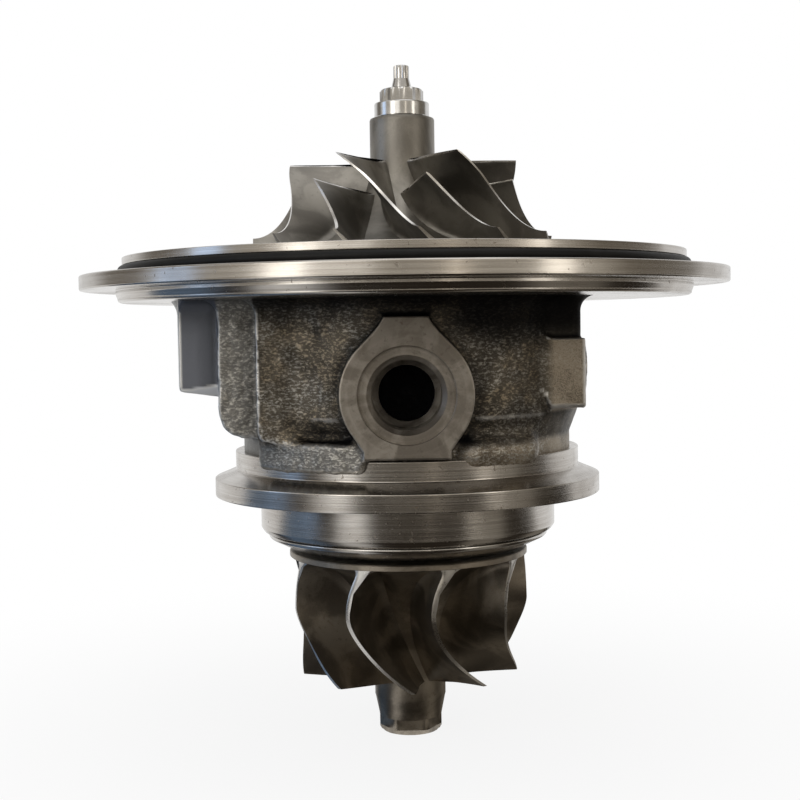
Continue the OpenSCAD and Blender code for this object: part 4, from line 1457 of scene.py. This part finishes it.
@dataclass
class TurbineWheel(Wheel):
    """Turbine wheel with its sealing neck and hexagon nose."""

    root_swell: float = 1.6
    nose_share: float = 0.001
    lead: int = 1
    blades: int = 9
    reach: float = 25.4
    outlet_r: float = 23.1
    inlet_w: float = 10.1
    hub_r: float = 7.6
    disc_t: float = 1.2
    blade_h: float = 25.1
    edge_gap: float = 0.1
    first: float = -29.3
    wrap_in: float = 8.6
    wrap_out: float = 30.5
    wrap_rise: float = 0.9
    tip_dip: float = 0.5
    tip_ease: float = 1.4
    root_ease: int = 4
    tip_t: float = 0.9
    root_t: float = 2.6
    neck_r: float = 8.6
    nose_hex: float = 11.8
    hex_h: float = 3.3
    hex_turn: float = 60.0
    hex_edge: float = 0.75
    hub_past: float = 1.6
    cone_h: float = 4.2
    nose_h: float = 13.3

    def __post_init__(self) -> None:
        """Reads the wheel's height from the frame."""
        low, high = node_range("turbine_wheel")
        self.nose_z, self.neck_z = low.z, high.z
        self.outlet_z = self.nose_z + self.nose_h
        self.blade_z = self.outlet_z + self.blade_h
        self.back_z = self.blade_z + self.disc_t
        self.hub_end_z = self.outlet_z - self.hub_past

    def hub_line(self, u: np.ndarray) -> tuple[np.ndarray, np.ndarray]:
        """Radius and height of the hub at chord share u."""
        turn = np.pi / 2 * u
        return (mix(self.reach - self.edge_gap, self.hub_r, np.sin(turn)),
                mix(self.blade_z, self.hub_end_z, 1 - np.cos(turn)))

    def shroud_line(self, u: np.ndarray) -> tuple[np.ndarray, np.ndarray]:
        """Radius and height of the blade tips at chord share u."""
        turn = np.pi / 2 * u
        dip = self.tip_dip * np.sin(2 * turn) ** 2
        return (mix(self.reach, self.outlet_r, np.sin(turn) ** self.tip_ease) - dip,
                mix(self.blade_z - self.inlet_w, self.outlet_z, u))

    def turn_deg(self, u: np.ndarray, s: np.ndarray, z: np.ndarray) -> np.ndarray:
        """Angle of the blade from the front."""
        low = self.blade_z - self.inlet_w + self.wrap_rise
        down = (low - z) / (low - self.outlet_z)
        up = (z - low) / (self.blade_z - low)
        return self.first + np.where(z < low, self.wrap_out * down ** 2, self.wrap_in * up ** 2)

    def wall(self, u: np.ndarray, s: np.ndarray) -> np.ndarray:
        """Thickness of the blade."""
        return mix(self.tip_t, self.root_t, (1 - s) ** self.root_ease)

    def hub(self, skin: Skin) -> None:
        """Adds the neck, disc and hub down to the nose's cone."""
        curve = list(zip(*self.hub_line(np.linspace(0, 1, 40))))
        cone_z = self.nose_z + self.hex_h + self.cone_h
        profile = [(0.5, self.neck_z), (self.neck_r - 0.3, self.neck_z), (self.neck_r, self.neck_z - 0.3),
                   (self.neck_r, self.back_z + 0.8), (self.neck_r + 1.5, self.back_z),
                   (self.reach - 0.2, self.back_z), (self.reach, self.back_z - 0.2),
                   (self.reach, self.blade_z + 0.1), *curve, (self.hub_r, cone_z + 0.3),
                   (self.hub_r - 0.1, cone_z), (self.nose_hex / 2 + self.hex_edge, self.nose_z + self.hex_h),
                   (0.5, self.nose_z + self.hex_h)]
        skin.loft(turned_rows(np.array(profile), 180)[::-1], loop=True)

    def nose(self, skin: Skin) -> None:
        """Adds the hexagon under the cone."""
        reach = hexagon_reach(self.nose_hex, self.hex_turn, 180)
        full = self.nose_hex / 2 + self.hex_edge
        top = self.nose_z + self.hex_h
        profile = [(full, top + 0.3), (full, self.nose_z + 0.6), (full - 0.3, self.nose_z + 0.2),
                   (full - 0.7, self.nose_z), (3.2, self.nose_z), (2.9, self.nose_z + 0.5),
                   (1.0, self.nose_z + 1.2)]
        skin.loft(shaped_rows(reach, profile))

    def build(self) -> bpy.types.Object:
        """Builds the wheel.

        Returns:
            The piece.
        """
        skin = Skin()
        self.hub(skin)
        self.nose(skin)
        for i in range(self.blades):
            self.blade(skin, i * 360 / self.blades)
        piece = skin.piece("turbine_rotor", [TURBINE_CAST, TURBINE_EDGE])
        return settle(piece, Body.ROTOR, Slot.TURBINE_ALLOY, "turbine_wheel")


@dataclass
class ShaftEnd:
    """Shaft with its fluted tip, and the twelve-point nut."""

    journal_r: float = 4.0
    stub_r: float = 2.5
    tip_r: float = 1.7
    tip_h: float = 2.8
    cone_r: float = 2.15
    flutes: int = 8
    flute_depth: float = 0.26
    flute_ease: float = 0.8
    root_r: float = 6.3
    root_h: tuple[float, float] = (3.1, 3.7)
    relief_r: float = 3.6
    relief_z: tuple[float, float, float, float] = (14.0, 14.4, 21.1, 21.5)
    shoulder_z: float = 33.0
    nut_collar_r: float = 5.8
    nut_collar_h: float = 3.2
    nut_flats: float = 7.97
    nut_bore_r: float = 2.55
    steps: int = 240

    def shaft(self) -> bpy.types.Object:
        """Builds the shaft."""
        low, high = node_range("rotor_shaft")
        tip_z = high.z
        stub_z = tip_z - self.tip_h
        nut_top = node_range("compressor_nut")[1].z
        waist = zip((self.journal_r, self.relief_r, self.relief_r, self.journal_r), self.relief_z)
        profile = [(self.root_r, low.z), (self.root_r, low.z + self.root_h[0]),
                   (self.journal_r, low.z + self.root_h[1]), *waist,
                   (self.journal_r, self.shoulder_z), (self.stub_r, self.shoulder_z),
                   (self.stub_r, nut_top - 0.2), (self.cone_r, nut_top + 0.1),
                   (self.cone_r - 0.1, nut_top + 0.6), (self.tip_r, stub_z)]
        skin = Skin()
        skin.loft(turned_rows(np.array(profile), 96))
        turn = full_turn(self.steps)
        dip = np.clip(np.cos(turn * self.flutes), 0, 1) ** self.flute_ease * self.flute_depth
        reach = self.tip_r - dip
        ends = [(self.tip_r, stub_z - 0.2), (self.tip_r, tip_z - 0.35), (self.tip_r - 0.12, tip_z - 0.12),
                (self.tip_r - 0.4, tip_z)]
        skin.loft(shaped_rows(reach, ends))
        piece = skin.piece("shaft", [BRIGHT_STEEL], 28)
        return settle(piece, Body.ROTOR, Slot.POLISHED_STEEL, "rotor_shaft")

    def nut(self) -> bpy.types.Object:
        """Builds the nut."""
        low, high = node_range("compressor_nut")
        seat = low.z + self.nut_collar_h
        corners = [(self.nut_bore_r, low.z), (self.nut_collar_r, low.z), (self.nut_collar_r, seat),
                   (self.nut_bore_r, seat)]
        skin = Skin()
        skin.loft(turned_rows(rounded(corners, 0.35), 144), loop=True)
        reach = np.maximum(*(hexagon_reach(self.nut_flats, turn, self.steps) for turn in (0, 30)))
        full = reach.max()
        inner = [(self.nut_bore_r, high.z), (self.nut_bore_r, seat - 0.2)]
        ends = [(full, seat - 0.2), (full, high.z - 0.55), (full - 0.35, high.z - 0.2),
                (full - 0.9, high.z), *inner]
        skin.loft(shaped_rows(reach, ends), loop=True)
        piece = skin.piece("wheel_nut", [BRIGHT_STEEL], 28)
        return settle(piece, Body.ROTOR, Slot.POLISHED_STEEL, "compressor_nut")

    def build(self) -> None:
        """Builds shaft and nut."""
        self.shaft()
        self.nut()


@dataclass
class InnerPieces:
    """Bearings, seals and rings inside the housing, which keep their solids."""

    finishes: dict[str, Finish] = field(default_factory=lambda: {
        "seal_plate": TURNED_IRON, "seal_plate_o_ring": BLACK_RUBBER, "seal_plate_circlip": INNER_STEEL,
        "oil_deflector": INNER_STEEL, "thrust_bearing": BRONZE, "thrust_pins": INNER_STEEL,
        "compressor_seal_ring": INNER_STEEL, "turbine_seal_ring": INNER_STEEL,
        "bush_retaining_rings": INNER_STEEL, "compressor_journal_bush": BRONZE,
        "turbine_journal_bush": BRONZE, "thrust_collar": BRIGHT_STEEL, "flinger_sleeve": BRIGHT_STEEL})

    def build(self) -> None:
        """Gives each solid its finish."""
        for name, finish in self.finishes.items():
            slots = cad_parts[name].data.materials
            slots.clear()
            slots.append(finish.material())
            LOG.info("%s keeps its solid with %s", name, finish.name)


# Studio


@dataclass(frozen=True)
class Lamp:
    """A soft panel that stands round the part at one turn from the camera's side."""

    name: str
    turn_deg: float
    reach_m: float
    rise_m: float
    width_m: float
    height_m: float
    level: float
    colour: Colour
    aim_m: float = 0.1

    def build(self) -> None:
        """Makes the lamp, pointed at the part, with a brightness of its level."""
        light = bpy.data.lights.new(self.name, "AREA")
        light.shape = "RECTANGLE"
        light.size, light.size_y = self.width_m, self.height_m
        light.energy = self.level * math.pi * self.width_m * self.height_m
        light.color = self.colour
        turn = math.radians(self.turn_deg)
        made = linked(self.name, light)
        made.location = (self.reach_m * math.sin(turn), -self.reach_m * math.cos(turn), self.rise_m)
        aim = Vector((0, 0, min(self.rise_m, self.aim_m))) - made.location
        made.rotation_euler = aim.to_track_quat("-Z", "Y").to_euler()
        LOG.info("%s stands at %.0f degrees", self.name, self.turn_deg)


LAMPS = (
    Lamp("left_wall", -29, 0.85, 0.33, 0.62, 0.54, 0.95, (1.0, 0.985, 0.955)),
    Lamp("left_softbox", -38, 0.75, 0.17, 0.17, 0.75, 1.9, (1.0, 0.985, 0.95)),
    Lamp("window", -79, 0.75, 0.10, 0.19, 0.60, 1.25, (0.34, 0.58, 1.0)),
    Lamp("warm_lamp", 16, 0.80, 0.06, 0.055, 0.50, 1.3, (1.0, 0.90, 0.76)),
    Lamp("right_softbox", 49, 0.75, 0.12, 0.14, 0.58, 1.8, (1.0, 0.95, 0.87)),
    Lamp("top_softbox", 30, 0.20, 0.75, 0.55, 0.55, 0.8, (1.0, 0.99, 0.97)),
)


@dataclass
class Studio:
    """Pale floor, soft light and the camera."""

    camera_mm: tuple[float, float, float] = (-1.3, -297.0, 34.5)
    pitch_deg: float = 2.96
    roll_deg: float = -0.88
    lens_mm: float = 62.5
    sensor_mm: float = 36.0
    near_m: float = 0.01
    floor_half_m: float = 3.0
    floor_dark: Colour = (0.86, 0.86, 0.86)
    floor_light: Colour = (0.90, 0.90, 0.90)
    shadow_share: float = 0.13
    shadow_reach_mm: float = 190.0
    ambient: float = 0.40
    room: Colour = (0.52, 0.48, 0.415)
    white: Colour = (1.0, 1.0, 1.0)
    surround: Colour = (0.92, 0.92, 0.92)
    dusk: Colour = (0.15, 0.125, 0.092)
    table: Colour = (0.030, 0.024, 0.018)
    sky: Colour = (0.17, 0.26, 0.40)
    table_half_m: float = 2.8
    table_back_m: float = 0.12

    def camera(self) -> None:
        """Makes the camera and sets it."""
        lens = bpy.data.cameras.new("photo_camera")
        lens.lens = self.lens_mm
        lens.sensor_width = self.sensor_mm
        lens.clip_start = self.near_m
        made = linked("photo_camera", lens)
        made.location = Vector(self.camera_mm) * MM
        look = Euler((math.radians(90 - self.pitch_deg), 0, 0)).to_matrix()
        roll = Euler((0, 0, math.radians(self.roll_deg))).to_matrix()
        made.rotation_euler = (look @ roll).to_euler()
        bpy.context.scene.camera = made

    @staticmethod
    def rays(graph: Graph) -> tuple[Value, Value]:
        """Whether a ray comes from the camera, and whether from a mirror or a window."""
        path = graph.node("LightPath").outputs
        camera, mirror, window = (Value(graph, path[name]) for name in
                                  ("Is Camera Ray", "Is Glossy Ray", "Is Transmission Ray"))
        return camera, mirror.most(window)

    def sheet(self, name: str, x_range: tuple[float, float], y_range: tuple[float, float],
              z: float, paint: bpy.types.Material) -> bpy.types.Object:
        """Lays a level sheet that belongs to the studio.

        Args:
            name: Name of the sheet.
            x_range: Its ends along X in metres.
            y_range: Its ends along Y in metres.
            z: Its height in metres.
            paint: Its material.

        Returns:
            The sheet.
        """
        points = [(x, y, z) for y in y_range for x in x_range]
        mesh = bpy.data.meshes.new(name)
        mesh.from_pydata(points, [], [(0, 1, 3, 2)])
        mesh.materials.append(paint)
        made = linked(name, mesh)
        return made

    def floor(self) -> None:
        """Lays the pale floor under the nose of the turbine wheel, white away from the shadow."""
        paint, graph = new_paint("pale_floor")
        spot = graph.spot_mm()
        x, y, _ = graph.parts(spot)
        fine = graph.noise(spot, 0.02, 3)
        pale = graph.blend(fine, self.floor_dark, self.floor_light)
        matt = graph.node("BsdfDiffuse", None, {"Color": pale})
        white = graph.node("Emission", None, {"Color": (1, 1, 1, 1), "Strength": 1.0})
        camera, mirror = self.rays(graph)
        away = ((x * x + y * y) ** 0.5).band(0, self.shadow_reach_mm)
        share = camera.most(mirror) * (1 - self.shadow_share * (1 - away))
        both = graph.node("MixShader", None, {0: share, 1: matt.outputs[0], 2: white.outputs[0]})
        graph.node("OutputMaterial", None, {"Surface": both.outputs[0]})
        half = self.floor_half_m
        self.sheet("studio_floor", (-half, half), (-half, half), CAD_BOX[0].z, paint)

    def dark_table(self) -> None:
        """Lays a dark sheet in front that only mirrors show, so that lower edges stand out."""
        paint, graph = new_paint("dark_table")
        x, y, _ = graph.parts(graph.spot_mm())
        away = (x * x + y * y) ** 0.5
        turn = x * (away ** -1.0)
        left = turn.band(-0.86, -0.74) * (1 - turn.band(-0.66, -0.36))
        right = turn.band(0.62, 0.78) * (1 - turn.band(0.93, 0.99))
        window = 1 - turn.band(-0.99, -0.90)
        tone = graph.blend(left * 0.85, self.table, self.white)
        tone = graph.blend(right * 0.45, tone, self.room)
        tone = graph.blend(window * 0.7, tone, self.sky)
        tone = graph.blend(away.band(750, 1300), tone, self.room)
        glow = graph.node("Emission", None, {"Color": tone, "Strength": 1.0})
        graph.node("OutputMaterial", None, {"Surface": glow.outputs[0]})
        half = self.table_half_m
        made = self.sheet("studio_table", (-half, half), (-half, self.table_back_m), CAD_BOX[0].z + MM, paint)
        made.visible_camera = made.visible_diffuse = made.visible_shadow = False

    def world(self) -> None:
        """Makes the white surround, dimmer where metal mirrors the camera's side of the room."""
        made = bpy.data.worlds.new("studio_surround")
        made.use_nodes = True
        bpy.context.scene.world = made
        graph = Graph(made.node_tree)
        camera, mirror = self.rays(graph)
        side, depth, height = graph.parts(graph.node("TexCoord").outputs["Generated"])
        open_side = depth.band(-0.30, 0.40).most(height.band(0.35, 0.9) * 0.8)
        mirrored = graph.blend(open_side, self.room, self.surround)
        dim = side.band(0.3, 0.6) * depth.band(-0.34, -0.20) * (1 - depth.band(0.36, 0.54))
        dim = dim.most((0 - side).band(0.3, 0.6) * depth.band(0.02, 0.20) * (1 - depth.band(0.45, 0.75)))
        mirrored = graph.blend(dim * 0.9, mirrored, self.dusk)
        soft = (self.ambient,) * 3
        colour = graph.blend(camera, graph.blend(mirror, soft, mirrored), self.white)
        back = graph.node("Background", None, {"Color": colour, "Strength": 1.0})
        graph.node("OutputWorld", None, {"Surface": back.outputs[0]})

    def build(self) -> None:
        """Sets the stage."""
        bpy.context.scene.view_settings.view_transform = "Standard"
        self.camera()
        self.floor()
        self.dark_table()
        self.world()
        for lamp in LAMPS:
            lamp.build()


def main() -> None:
    """Builds every sub-assembly in order and notes the sizes."""
    logging.basicConfig(level=logging.INFO, format="%(name)s %(message)s")
    Studio().build()
    Casting().build()
    HousingRings().build()
    for way in Axis:
        CoolantPort(way).build()
    Seals().build()
    CompressorWheel().build()
    TurbineWheel().build()
    ShaftEnd().build()
    InnerPieces().build()


if __name__ == "__main__":
    main()
